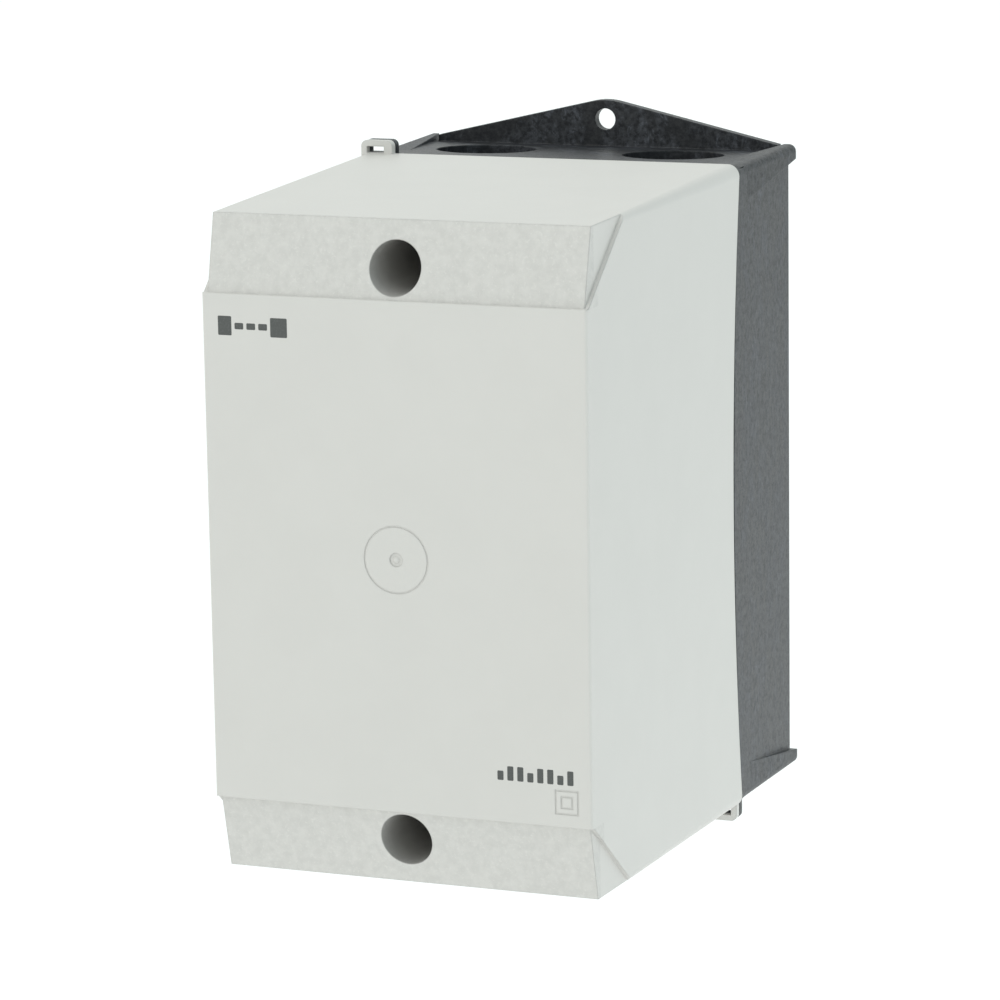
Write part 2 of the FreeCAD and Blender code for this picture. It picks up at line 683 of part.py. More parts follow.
def fixing_lug():
    """The triangular plate at the top of the back."""
    foot_z = COVER_HEIGHT / 2 - 2 * BASE_WALL
    root_z = COVER_HEIGHT / 2 - BASE_STEP
    slope = math.atan2(LUG_APEX_Z - root_z, LUG_HALF_WIDTH)
    sharp_z = LUG_APEX_Z + LUG_APEX_R * (1 / math.cos(slope) - 1)
    outline = [(-LUG_HALF_WIDTH, foot_z), (LUG_HALF_WIDTH, foot_z), (LUG_HALF_WIDTH, root_z), (0, sharp_z)]
    outline.append((-LUG_HALF_WIDTH, root_z))
    points = [Vector(x, 0, z) for x, z in outline]
    plate = Part.Face(Part.makePolygon(points + points[:1])).extrude(Vector(0, -LUG_THICK, 0))
    apex = [e for e in plate.Edges if abs(e.CenterOfMass.x) < 0.01 and e.CenterOfMass.z > LUG_APEX_Z]
    plate = plate.makeFillet(LUG_APEX_R, apex)
    return plate.cut(rod(FIXING_R, 0, FIXING_Z, past((0, LUG_THICK))))


def cable_entry_solid(x):
    """The inner collar of one upper cable entry."""
    top_z = COVER_HEIGHT / 2 - BASE_WALL
    low_z = top_z - ENTRY_DEPTH
    return upright(ENTRY_R + ENTRY_COLLAR, x, ENTRY_OUT, (low_z, top_z))


def cable_entry_hollow(x):
    """The recess that is cut from outside, leaving a thin web, with the ring of a smaller knock-out."""
    top_z = COVER_HEIGHT / 2 + BEYOND
    web_top = COVER_HEIGHT / 2 - BASE_WALL - ENTRY_DEPTH + ENTRY_WEB
    recess = upright(ENTRY_R, x, ENTRY_OUT, (web_top, top_z))
    groove = upright(KNOCKOUT_R, x, ENTRY_OUT, (web_top - ENTRY_WEB / 3, web_top))
    groove = groove.cut(upright(KNOCKOUT_R - KNOCKOUT_GROOVE, x, ENTRY_OUT, (web_top - ENTRY_WEB, web_top)))
    return [recess, groove]


def rear_base():
    front = PARTING_OUT + ARCH_RISE + MARGIN
    shell = rounded_by(base_box(0, (0, front)), BASE_REAR_R, REAR_CORNER_R)
    shell = shell.common(arch(0))
    lip_span = (PARTING_OUT - MARGIN, DEPTH / 2)
    lip = rounded_by(cover_box(LIP_INSET, lip_span), REAR_CORNER_R, REAR_CORNER_R)
    lip = lip.cut(cover_box(LIP_INSET + LIP_WALL, lip_span)).common(arch(LIP_LENGTH))
    upper_wedges = [corner_wedge(), corner_wedge().mirror(Vector(0, 0, 0), Vector(1, 0, 0))]
    shell = join([shell] + upper_wedges + [flipped_z(wedge) for wedge in upper_wedges])
    shell = shell.cut(base_box(BASE_WALL, (BACK_WALL, front)))
    half = [fixing_lug(), rod(SCREW_BOSS_R, 0, WELL_Z, (0, PARTING_OUT))]
    half += [cable_entry_solid(x) for x in (-ENTRY_X, ENTRY_X)]
    shell = join([shell, lip] + half + [flipped_z(shape) for shape in half])
    loop = sealing_loop((PARTING_OUT - LOOP_THICK, PARTING_OUT))
    bosses = [rod(RAIL_BOSS_R, x, CONTACTOR_Z, (0, RAIL_SEAT_OUT)) for x in (-RAIL_SCREW_X, RAIL_SCREW_X)]
    shell = join([shell, loop, turned_half(loop)] + bosses)
    for x in (-ENTRY_X, ENTRY_X):
        for hollow in cable_entry_hollow(x):
            shell = cut_all(shell, [hollow, flipped_z(hollow)])
    for z in (WELL_Z, -WELL_Z):
        shell = shell.cut(rod(INSERT_R, 0, z, (PARTING_OUT - INSERT_LENGTH, PARTING_OUT + BEYOND)))
        shell = shell.cut(rod(SCREW_R + SCREW_HOLE_CLEAR, 0, z, (BACK_WALL, PARTING_OUT)))
    for x in (-RAIL_SCREW_X, RAIL_SCREW_X):
        shell = shell.cut(rod(RAIL_SCREW_R, x, CONTACTOR_Z, (RAIL_HOLE_END, RAIL_SEAT_OUT + BEYOND)))
    return shell


def threaded_inserts():
    span = (PARTING_OUT - INSERT_LENGTH, PARTING_OUT)
    return [ring(INSERT_R, SCREW_R + SCREW_CLEAR, 0, z, span) for z in (WELL_Z, -WELL_Z)]


def cover_screw(z):
    head_low = WELL_FLOOR_OUT + WASHER + SCREW_CLEAR
    head = rod(SCREW_HEAD_R, 0, z, (head_low, head_low + SCREW_HEAD))
    head = head.makeChamfer(EDGE, edges_at(head, head_low + SCREW_HEAD))
    shank = rod(SCREW_R, 0, z, (SCREW_TIP_OUT, head_low))
    screw = join([head, shank])
    slot_low = head_low + SCREW_HEAD / 2
    slot = centred_block(0, z, SCREW_HEAD_R, SCREW_SLOT / 2, (slot_low, slot_low + SCREW_HEAD))
    cross = centred_block(0, z, SCREW_SLOT / 2, CROSS_SHARE * SCREW_HEAD_R, (slot_low, slot_low + SCREW_HEAD))
    return cut_all(screw, [slot, cross])


def screw_washer(z):
    return ring(WASHER_R, SCREW_R + SCREW_CLEAR, 0, z, (WELL_FLOOR_OUT, WELL_FLOOR_OUT + WASHER))


# ---- mounting rail ----
def din_rail():
    web = (RAIL_SEAT_OUT, RAIL_SEAT_OUT + RAIL_STEEL)
    across = (-RAIL_HALF_LENGTH, RAIL_HALF_LENGTH)
    parts = [block(across, web, about(CONTACTOR_Z, -RAIL_INNER_HALF, RAIL_INNER_HALF))]
    for side in (-1, 1):
        inner = side * (RAIL_INNER_HALF - RAIL_STEEL)
        wall_z = sorted((inner, side * RAIL_INNER_HALF))
        flange_z = sorted((inner, side * RAIL_HALF_HEIGHT))
        parts.append(block(across, (RAIL_SEAT_OUT, RAIL_FRONT_OUT), about(CONTACTOR_Z, *wall_z)))
        parts.append(block(across, (FLANGE_BACK_OUT, RAIL_FRONT_OUT), about(CONTACTOR_Z, *flange_z)))
    rail = join(parts)
    for x in (-RAIL_SCREW_X, RAIL_SCREW_X):
        rail = rail.cut(rod(RAIL_SCREW_R + RAIL_HOLE_CLEAR, x, CONTACTOR_Z, past(web)))
    return rail


def slotted_screw(x, z, seat_out, head_r, head, shank_r, shank):
    """A pan-head screw whose head sits on seat_out and whose shank runs back from it."""
    head_out = seat_out + head
    body = join([rod(head_r, x, z, (seat_out, head_out)), rod(shank_r, x, z, (seat_out - shank, seat_out))])
    body = body.makeChamfer(EDGE, edges_at(body, head_out))
    slot = (seat_out + head / 2, head_out + BEYOND)
    half_slot = SLOT_SHARE * head_r / 2
    body = body.cut(centred_block(x, z, head_r + BEYOND, half_slot, slot))
    return body.cut(centred_block(x, z, half_slot, CROSS_SHARE * head_r, slot))


def rail_screws():
    seat = RAIL_SEAT_OUT + RAIL_STEEL
    shank_r = RAIL_SCREW_R - SCREW_CLEAR
    return [
        slotted_screw(x, CONTACTOR_Z, seat, RAIL_HEAD_R, RAIL_HEAD, shank_r, RAIL_SHANK)
        for x in (-RAIL_SCREW_X, RAIL_SCREW_X)
    ]


def rail_channel(half_width, x):
    """The space that a rail foot leaves for the rail."""
    span = (FEET_OUT - BEYOND, RAIL_FRONT_OUT + SEAT_CLEAR)
    return centred_block(x, CONTACTOR_Z, half_width + BEYOND, RAIL_HALF_HEIGHT + FOOT_CLEAR, span)


def rail_hook(x_range, side):
    """A fixed lip that grips behind one rail flange; side is +1 above and -1 below."""
    behind = FLANGE_BACK_OUT - HOOK_PLAY
    tip_z = RAIL_HALF_HEIGHT - HOOK_BITE
    z_limits = sorted((side * tip_z, side * (RAIL_HALF_HEIGHT + HOOK_BEYOND)))
    return block(x_range, (behind - HOOK_THICK, behind), about(CONTACTOR_Z, *z_limits))


def earth_terminal_block():
    half = EARTH_HALF_WIDTH
    x_range = (EARTH_X - half, EARTH_X + half)
    body = centred_block(EARTH_X, CONTACTOR_Z, half, EARTH_HALF_HEIGHT, (FEET_OUT, EARTH_BODY_OUT))
    tower = centred_block(EARTH_X, CONTACTOR_Z, half, EARTH_TOWER_HALF, (EARTH_BODY_OUT, EARTH_FRONT_OUT))
    body = join([body, tower])
    body = body.cut(rail_channel(half, EARTH_X))
    body = join([body, rail_hook(x_range, 1), rail_hook(x_range, -1)])
    wire_x = (EARTH_X - EARTH_WIRE_HALF, EARTH_X + EARTH_WIRE_HALF)
    for side in (-1, 1):
        z = CONTACTOR_Z + side * EARTH_SCREW_Z
        inner, outer = EARTH_HALF_HEIGHT - EARTH_WIRE_DEPTH, EARTH_HALF_HEIGHT + BEYOND
        wire_z = about(CONTACTOR_Z, *sorted((side * inner, side * outer)))
        body = body.cut(rod(EARTH_HEAD_R + RUN_CLEAR, EARTH_X, z, (EARTH_SEAT_OUT, EARTH_BODY_OUT + BEYOND)))
        body = body.cut(rod(EARTH_SCREW_R + RUN_CLEAR, EARTH_X, z, (EARTH_BORE_OUT, EARTH_BODY_OUT)))
        body = body.cut(block(wire_x, EARTH_WIRE_OUT, wire_z))
    return body


def earth_terminal_screws():
    seat = EARTH_SEAT_OUT + REST_GAP
    return [
        slotted_screw(EARTH_X, CONTACTOR_Z + z, seat, EARTH_HEAD_R, EARTH_HEAD, EARTH_SCREW_R, EARTH_SHANK)
        for z in (-EARTH_SCREW_Z, EARTH_SCREW_Z)
    ]


# ---- contactor ----
def contactor_rear_housing():
    x_half = CONTACTOR_HALF_WIDTH
    body = centred_block(0, CONTACTOR_Z, x_half, CONTACTOR_HALF_HEIGHT, (FEET_OUT, HOUSING_SPLIT_OUT))
    body = body.makeFillet(DEVICE_CORNER_R, depth_edges(body))
    cavity_span = (DEVICE_FLOOR_OUT, HOUSING_SPLIT_OUT + BEYOND)
    cavity = centred_block(0, CONTACTOR_Z, x_half - SHELL_WALL, REAR_CAVITY_HALF, cavity_span)
    body = cut_all(body, [rail_channel(x_half, 0), cavity])
    body = join([body, rail_hook((EDGE - x_half, x_half - EDGE), 1)])
    guide_side, guide_over = LATCH_GUIDE
    slot_x = (-LATCH_X - guide_side, LATCH_X + guide_side)
    slot_z = about(CONTACTOR_Z, -CONTACTOR_HALF_HEIGHT - BEYOND, -RAIL_HALF_HEIGHT)
    slot = block(slot_x, (LATCH_OUT[0] - guide_over, LATCH_OUT[1] + guide_over), slot_z)
    rib_out = (LATCH_OUT[0] - guide_side, LATCH_OUT[1] + guide_side)
    rib = block((-LATCH_RIB_HALF, LATCH_RIB_HALF), rib_out, about(CONTACTOR_Z, *LATCH_RIB))
    body = join([body.cut(slot), rib])
    hole_out = (COIL_HOLE_OUT, HOUSING_SPLIT_OUT + BEYOND)
    for x in COIL_TERMINAL_X:
        body = body.cut(rod(SMALL_SCREW_R + SCREW_CLEAR, x, COIL_TERMINAL_Z, hole_out))
    wall_z = (REAR_CAVITY_HALF - BEYOND, CONTACTOR_HALF_HEIGHT + BEYOND)
    for side in (-1, 1):
        vent_z = about(CONTACTOR_Z, *sorted((side * wall_z[0], side * wall_z[1])))
        for x in VENT_X:
            body = body.cut(block((x - VENT_HALF, x + VENT_HALF), VENT_OUT, vent_z))
    return body


def rail_latch():
    """The sliding catch behind the rail's lower flange, with a pull tab and a spring window."""
    through = past(LATCH_OUT)
    plate = block((-LATCH_X, LATCH_X), LATCH_OUT, about(CONTACTOR_Z, *LATCH_REACH))
    window = block((-LATCH_WINDOW_HALF, LATCH_WINDOW_HALF), through, about(CONTACTOR_Z, *LATCH_WINDOW))
    pull_slot = block((-LATCH_PULL_HALF, LATCH_PULL_HALF), through, about(CONTACTOR_Z, *LATCH_PULL))
    return cut_all(plate, [window, pull_slot])


def latch_spring():
    middle = sum(LATCH_OUT) / 2
    low = CONTACTOR_Z + LATCH_RIB[1] + REST_GAP
    length = LATCH_WINDOW[1] - LATCH_RIB[1] - 2 * REST_GAP
    base = Vector(0, -middle, low)
    return spring(LATCH_SPRING_R, LATCH_SPRING_WIRE, LATCH_SPRING_TURNS, base, Vector(0, 0, 1), length)


def e_core(back_out, yoke, leg, direction):
    """A laminated E: a yoke at back_out with three legs; direction +1 points the legs out."""
    def span(start, length):
        return tuple(sorted((back_out + direction * start, back_out + direction * (start + length))))

    parts = [centred_block(0, CONTACTOR_Z, CORE_HALF_WIDTH, CORE_HALF_HEIGHT, span(0, yoke))]
    leg_out = span(yoke, leg)
    parts.append(centred_block(0, CONTACTOR_Z, CORE_HALF_WIDTH, MIDDLE_LEG_HALF, leg_out))
    outer_middle = CORE_HALF_HEIGHT - OUTER_LEG / 2
    for side in (-1, 1):
        z = CONTACTOR_Z + side * outer_middle
        parts.append(centred_block(0, z, CORE_HALF_WIDTH, OUTER_LEG / 2, leg_out))
    return join(parts)


def shading_ring(side, grow):
    """A flat copper loop let into one outer pole face; grow widens it for its groove."""
    half_x, half_z = SHADING_HALF
    z = CONTACTOR_Z + side * (CORE_HALF_HEIGHT - OUTER_LEG / 2)
    depth = (POLE_FACE_OUT - SHADING_DEPTH - grow, POLE_FACE_OUT)
    outer = centred_block(0, z, half_x + grow, half_z + grow, depth)
    inner_half = (half_x - SHADING_WIRE - grow, half_z - SHADING_WIRE - grow)
    return outer.cut(centred_block(0, z, *inner_half, depth))


def fixed_core():
    core = e_core(CORE_BACK_OUT, CORE_YOKE, CORE_LEG, 1)
    return cut_all(core, [shading_ring(side, REST_GAP) for side in (-1, 1)])


def shading_rings():
    return [shading_ring(side, 0) for side in (-1, 1)]


def core_cushion():
    border_x, border_z = CUSHION_BORDER
    span = (CORE_BACK_OUT - CUSHION, CORE_BACK_OUT)
    return centred_block(0, CONTACTOR_Z, CORE_HALF_WIDTH + border_x, CORE_HALF_HEIGHT + border_z, span)


def armature_pin_hole():
    return crossbar(ARMATURE_PIN_R + SCREW_CLEAR, ARMATURE_PIN_OUT, CONTACTOR_Z, (-CARRIER_X, CARRIER_X))


def moving_armature():
    armature = e_core(ARMATURE_FRONT_OUT, ARMATURE_YOKE, ARMATURE_LEG, -1)
    return armature.cut(armature_pin_hole())


def armature_pin():
    half = CORE_HALF_WIDTH + RUN_CLEAR + CHEEK
    return crossbar(ARMATURE_PIN_R, ARMATURE_PIN_OUT, CONTACTOR_Z, (-half, half))


def coil_bobbin():
    bore = (CORE_HALF_WIDTH + LEG_CLEAR, MIDDLE_LEG_HALF + LEG_CLEAR)
    wall = (bore[0] + BOBBIN_WALL, bore[1] + BOBBIN_WALL)
    flange_z = CORE_HALF_HEIGHT - OUTER_LEG - LEG_CLEAR
    spool = [centred_block(0, CONTACTOR_Z, *wall, (BOBBIN_OUT, BOBBIN_END_OUT))]
    for low in (BOBBIN_OUT, BOBBIN_END_OUT - BOBBIN_WALL):
        spool.append(centred_block(0, CONTACTOR_Z, BOBBIN_HALF_WIDTH, flange_z, (low, low + BOBBIN_WALL)))
    return join(spool).cut(centred_block(0, CONTACTOR_Z, *bore, past((BOBBIN_OUT, BOBBIN_END_OUT))))


def coil_winding():
    spool_wall = LEG_CLEAR + BOBBIN_WALL + REST_GAP
    inner = (CORE_HALF_WIDTH + spool_wall, MIDDLE_LEG_HALF + spool_wall)
    span = (BOBBIN_OUT + BOBBIN_WALL + REST_GAP, BOBBIN_END_OUT - BOBBIN_WALL - REST_GAP)
    outer = centred_block(0, CONTACTOR_Z, *WINDING_HALF, span)
    outer = outer.makeFillet(WINDING_CORNER_R, depth_edges(outer))
    return outer.cut(centred_block(0, CONTACTOR_Z, *inner, span))


def return_springs():
    low = BOBBIN_END_OUT + REST_GAP
    length = ARMATURE_FRONT_OUT + SEAT_CLEAR - low
    return [
        outward_spring(RETURN_SPRING_R, RETURN_SPRING_WIRE, RETURN_SPRING_TURNS, x, CONTACTOR_Z, low, length)
        for x in (-RETURN_SPRING_X, RETURN_SPRING_X)
    ]


def bridge_window(x):
    """The window in the contact carrier that holds one bridge contact and its spring."""
    half = BRIDGE_HALF_WIDTH + WINDOW_SIDE
    return centred_block(x, CONTACTOR_Z, half, 2 * CARRIER_HALF, (BRIDGE_OUT, BRIDGE_OUT + BRIDGE_WINDOW))


def contact_carrier():
    plate_low = ARMATURE_FRONT_OUT + SEAT_CLEAR
    plate_high = plate_low + CARRIER_PLATE
    peg_front = CONTACTOR_FRONT_OUT - INDICATOR_BACK
    parts = [centred_block(0, CONTACTOR_Z, CARRIER_X, CARRIER_PLATE_HALF, (plate_low, plate_high))]
    parts.append(centred_block(0, CONTACTOR_Z, CARRIER_X, CARRIER_HALF, (plate_high, CARRIER_FRONT_OUT)))
    parts.append(centred_block(0, CONTACTOR_Z, *INDICATOR_HALF, (plate_high, peg_front)))
    inner_x = CORE_HALF_WIDTH + RUN_CLEAR
    for side in (-1, 1):
        cheek_x = sorted((side * inner_x, side * (inner_x + CHEEK)))
        cheek_out = (ARMATURE_PIN_OUT - CARRIER_HALF, plate_low)
        parts.append(block(cheek_x, cheek_out, about(CONTACTOR_Z, -CHEEK_HALF, CHEEK_HALF)))
    return cut_all(join(parts), [armature_pin_hole()] + [bridge_window(x) for x in POLES])


def bridge_contacts():
    bridges = []
    span = (BRIDGE_OUT, BRIDGE_OUT + BRIDGE)
    for x in POLES:
        bar = centred_block(x, CONTACTOR_Z, BRIDGE_HALF_WIDTH, TIP_Z + BRIDGE_END, span)
        tips = [rod(TIP_R, x, CONTACTOR_Z + z, (BRIDGE_OUT - TIP, BRIDGE_OUT)) for z in (-TIP_Z, TIP_Z)]
        bridges.append(join([bar] + tips))
    return bridges


def contact_springs():
    low = BRIDGE_OUT + BRIDGE + REST_GAP
    length = BRIDGE_WINDOW - BRIDGE - 2 * REST_GAP
    coil = (CONTACT_SPRING_R, CONTACT_SPRING_WIRE, CONTACT_SPRING_TURNS)
    return [outward_spring(*coil, x, CONTACTOR_Z, low, length) for x in POLES]


def contactor_front_housing():
    x_half = CONTACTOR_HALF_WIDTH
    split = HOUSING_SPLIT_OUT
    through = CONTACTOR_FRONT_OUT + BEYOND
    deck = centred_block(0, CONTACTOR_Z, x_half, FRONT_HALF_HEIGHT, (split, DECK_OUT))
    nose = centred_block(0, CONTACTOR_Z, x_half, NOSE_HALF_HEIGHT, (split, CONTACTOR_FRONT_OUT))
    body = join([deck, nose])
    body = body.makeChamfer(DEVICE_CHAMFER, edges_at(body, CONTACTOR_FRONT_OUT))
    cavity_x = x_half - SHELL_WALL
    magnet_half = CORE_HALF_HEIGHT + ARMATURE_ROOM
    peg_hole = [half + RUN_CLEAR for half in INDICATOR_HALF]
    nose_span = (split - BEYOND, CONTACTOR_FRONT_OUT - NOSE_WALL)
    magnet_span = (split - BEYOND, ARMATURE_FRONT_OUT + ARMATURE_ROOM)
    marker_span = (CONTACTOR_FRONT_OUT - MARKER_DEPTH, through)
    tools = [
        centred_block(0, CONTACTOR_Z, cavity_x, NOSE_CAVITY_HALF, nose_span),
        centred_block(0, CONTACTOR_Z, cavity_x, magnet_half, magnet_span),
        centred_block(0, CONTACTOR_Z, *peg_hole, (split, through)),
        centred_block(0, CONTACTOR_Z + MARKER_Z, *MARKER_HALF, marker_span),
    ]
    for x in POLES:
        for side in (-1, 1):
            tools += terminal_pocket(x, side)
    return cut_all(body, tools)


def strip_limits(side, grow):
    """A main terminal strip's limits along Z, widened by grow for its slot."""
    limits = (side * (STRIP_INNER_Z - grow), side * (TERMINAL_Z + STRIP_END + grow))
    return about(CONTACTOR_Z, *sorted(limits))


def terminal_pocket(x, side):
    """The hollow for one main terminal: strip, clamp, screw and the way in for a conductor."""
    z = CONTACTOR_Z + side * TERMINAL_Z
    strip_x = (x - STRIP_HALF_WIDTH - RUN_CLEAR, x + STRIP_HALF_WIDTH + RUN_CLEAR)
    strip_span = (STRIP_OUT - REST_GAP, STRIP_OUT + STRIP + REST_GAP)
    strip = block(strip_x, strip_span, strip_limits(side, RUN_CLEAR))
    well_x = (x - TERMINAL_WELL_HALF, x + TERMINAL_WELL_HALF)
    well_z = sorted((side * (TERMINAL_Z - TERMINAL_WELL_IN), side * (FRONT_HALF_HEIGHT + BEYOND)))
    well = block(well_x, (STRIP_OUT + STRIP, DECK_OUT + BEYOND), about(CONTACTOR_Z, *well_z))
    return [strip, well, main_screw_hole(x, z)]


def main_screw_hole(x, z):
    return rod(TERMINAL_SCREW_R + RUN_CLEAR, x, z, (TERMINAL_HOLE_OUT, DECK_OUT))


def main_terminals(side):
    strips = []
    for x in POLES:
        strip_x = (x - STRIP_HALF_WIDTH, x + STRIP_HALF_WIDTH)
        strip = block(strip_x, (STRIP_OUT, STRIP_OUT + STRIP), strip_limits(side, 0))
        tip = rod(TIP_R, x, CONTACTOR_Z + side * TIP_Z, (STRIP_OUT + STRIP, CONTACT_OUT))
        strips.append(join([strip, tip]).cut(main_screw_hole(x, CONTACTOR_Z + side * TERMINAL_Z)))
    return strips


def terminal_clamps():
    clamps = []
    for x in POLES:
        for z in (CONTACTOR_Z - TERMINAL_Z, CONTACTOR_Z + TERMINAL_Z):
            plate = centred_block(x, z, CLAMP_HALF, CLAMP_HALF, (CLAMP_OUT, CLAMP_OUT + CLAMP))
            clamps.append(plate.cut(main_screw_hole(x, z)))
    return clamps


def main_terminal_screw(x, z, seat):
    return slotted_screw(x, z, seat, TERMINAL_HEAD_R, TERMINAL_HEAD, TERMINAL_SCREW_R, TERMINAL_SHANK)


def contactor_terminal_screws():
    seat = CLAMP_OUT + CLAMP + REST_GAP
    rows = (CONTACTOR_Z - TERMINAL_Z, CONTACTOR_Z + TERMINAL_Z)
    return [main_terminal_screw(x, z, seat) for x in POLES for z in rows]


def coil_terminals():
    tabs = []
    span = (HOUSING_SPLIT_OUT, HOUSING_SPLIT_OUT + COIL_TAB)
    for x in COIL_TERMINAL_X:
        tab = centred_block(x, COIL_TERMINAL_Z, *COIL_TAB_HALF, span)
        tabs.append(tab.cut(rod(SMALL_SCREW_R + SCREW_CLEAR, x, COIL_TERMINAL_Z, past(span))))
    return tabs


def coil_terminal_screws():
    seat = HOUSING_SPLIT_OUT + COIL_TAB + REST_GAP
    return [
        slotted_screw(x, COIL_TERMINAL_Z, seat, SMALL_HEAD_R, SMALL_HEAD, SMALL_SCREW_R, COIL_SHANK)
        for x in COIL_TERMINAL_X
    ]


# ---- overload relay ----
def relay_strip_limits(grow):
    return (RELAY_TERMINAL_Z - RELAY_STRIP_DOWN - grow, RELAY_TERMINAL_Z + RELAY_STRIP_UP + grow)


def relay_pole_cuts(x):
    """What one pole takes out of the relay's housing: pin slot, strip slot, terminal well and screw hole."""
    strip_half = STRIP_HALF_WIDTH + RUN_CLEAR
    pin_half = PIN_HALF + FIT_GAP
    strip_out = (RELAY_STRIP_OUT - REST_GAP, RELAY_STRIP_OUT + STRIP)
    well_out = (RELAY_STRIP_OUT + STRIP, RELAY_COVER_OUT + BEYOND)
    well_z = (RELAY_LOW_Z - BEYOND, RELAY_TERMINAL_Z + TERMINAL_WELL_IN)
    pin_z = (CHAMBER_TOP_Z - PIN_FOOT - RUN_CLEAR, RELAY_TOP_Z + BEYOND)
    return [
        block((x - pin_half, x + pin_half), (STRIP_OUT + STRIP, CLAMP_OUT), pin_z),
        block((x - strip_half, x + strip_half), strip_out, relay_strip_limits(RUN_CLEAR)),
        block((x - TERMINAL_WELL_HALF, x + TERMINAL_WELL_HALF), well_out, well_z),
        relay_screw_hole(x),
    ]


def relay_screw_hole(x):
    hole_out = (RELAY_STRIP_OUT - TERMINAL_SHANK, RELAY_COVER_OUT)
    return rod(TERMINAL_SCREW_R + RUN_CLEAR, x, RELAY_TERMINAL_Z, hole_out)


def relay_housing():
    relay_x = (-RELAY_X, RELAY_X)
    body = block(relay_x, (RELAY_BACK_OUT + RELAY_PLATE, RELAY_COVER_OUT), (RELAY_LOW_Z, RELAY_TOP_Z))
    body = body.makeFillet(DEVICE_CORNER_R, depth_edges(body))
    inner_x = RELAY_X - SHELL_WALL
    tools = [block((-inner_x, inner_x), (RELAY_BACK_OUT, CHAMBER_FRONT_OUT), (CHAMBER_LOW_Z, CHAMBER_TOP_Z))]
    for x in RELAY_POLES:
        tools += relay_pole_cuts(x)
    for x in (STOP_X, RESET_X):
        tools.append(rod(BUTTON_STEM_R + RUN_CLEAR, x, CONTROL_Z, past((CHAMBER_FRONT_OUT, RELAY_COVER_OUT))))
    seat_depth = LEVER_PIN_SEAT + RUN_CLEAR
    for z_range in ((CHAMBER_LOW_Z - seat_depth, CHAMBER_LOW_Z), (CHAMBER_TOP_Z, CHAMBER_TOP_Z + seat_depth)):
        tools.append(upright(LEVER_PIN_R + SCREW_CLEAR, LEVER_X, LEVER_PIVOT_OUT, z_range))
    return cut_all(body, tools)


def relay_back_cover():
    front = RELAY_BACK_OUT + RELAY_PLATE
    plate = block((-RELAY_X, RELAY_X), (RELAY_BACK_OUT, front), (RELAY_LOW_Z, RELAY_TOP_Z))
    half_x = RELAY_X - SHELL_WALL - SEAT_CLEAR
    half_z = CHAMBER_HEIGHT / 2 - SEAT_CLEAR
    span = (front, front + SPIGOT)
    spigot = centred_block(0, CHAMBER_MIDDLE_Z, half_x, half_z, span)
    hollow = centred_block(0, CHAMBER_MIDDLE_Z, half_x - SPIGOT, half_z - SPIGOT, past(span))
    return join([plate, spigot.cut(hollow)])


def relay_front_cover():
    body = block((-RELAY_X, RELAY_X), (RELAY_COVER_OUT, RELAY_FRONT_OUT), (RELAY_COVER_LOW_Z, RELAY_TOP_Z))
    body = body.makeChamfer(DEVICE_CHAMFER, edges_at(body, RELAY_FRONT_OUT))
    inner_x = RELAY_X - SHELL_WALL
    room_z = (CHAMBER_TOP_Z - RELAY_COVER_ROOM, CHAMBER_TOP_Z)
    front = RELAY_FRONT_OUT + BEYOND
    inner = RELAY_FRONT_INNER_OUT
    tools = [block((-inner_x, inner_x), (RELAY_COVER_OUT - BEYOND, inner), room_z)]
    tools.append(rod(DIAL_R + RUN_CLEAR, DIAL_X, CONTROL_Z, (inner + DIAL_SEAT, front)))
    tools.append(rod(DIAL_SHAFT_R + RUN_CLEAR, DIAL_X, CONTROL_Z, (inner - BEYOND, front)))
    tools.append(rod(STOP_R + RUN_CLEAR, STOP_X, CONTROL_Z, (inner - BEYOND, front)))
    tools.append(rod(RESET_R + RUN_CLEAR, RESET_X, CONTROL_Z, (inner - BEYOND, front)))
    well_half, well_up = AUX_WELL
    for x in AUX_X:
        well_z = (RELAY_COVER_LOW_Z - BEYOND, AUX_Z + well_up)
        tools.append(block((x - well_half, x + well_half), (AUX_TAB_OUT, front), well_z))
        tools.append(rod(SMALL_SCREW_R + SCREW_CLEAR, x, AUX_Z, (RELAY_COVER_OUT + BEYOND, RELAY_FRONT_OUT)))
    return cut_all(body, tools)


def plug_pins():
    """Flat forked pins that reach up under the contactor's lower clamps."""
    pins = []
    low = STRIP_OUT + STRIP + PIN_LIFT
    pin_out = (low, low + PIN_THICK)
    screw_z = CONTACTOR_Z - TERMINAL_Z
    top_z = screw_z + PIN_REACH
    fork_half = TERMINAL_SCREW_R + HOOK_PLAY
    for x in RELAY_POLES:
        pin = block((x - PIN_HALF, x + PIN_HALF), pin_out, (CHAMBER_TOP_Z - PIN_FOOT, top_z))
        fork = block((x - fork_half, x + fork_half), past(pin_out), (screw_z, top_z + BEYOND))
        fork = fork.fuse(rod(fork_half, x, screw_z, past(pin_out)))
        pins.append(pin.cut(fork))
    return pins


def bimetal_strips():
    half_x, half_z = BIMETAL_HALF
    return [centred_block(x, CHAMBER_MIDDLE_Z, half_x, half_z, BIMETAL_OUT) for x in RELAY_POLES]


def heater_windings():
    """A ribbed sleeve round each bimetal strip: the turns of the heater tape."""
    bore = [half + REST_GAP for half in BIMETAL_HALF]
    rib_half = [half + HEATER_RIB for half in HEATER_HALF]
    first = HEATER_OUT[0] + HEATER_RIB
    sleeves = []
    for x in RELAY_POLES:
        parts = [centred_block(x, CHAMBER_MIDDLE_Z, *HEATER_HALF, HEATER_OUT)]
        for index in range(HEATER_TURNS):
            low = first + index * HEATER_PITCH
            parts.append(centred_block(x, CHAMBER_MIDDLE_Z, *rib_half, (low, low + HEATER_TURN)))
        sleeves.append(join(parts).cut(centred_block(x, CHAMBER_MIDDLE_Z, *bore, past(HEATER_OUT))))
    return sleeves


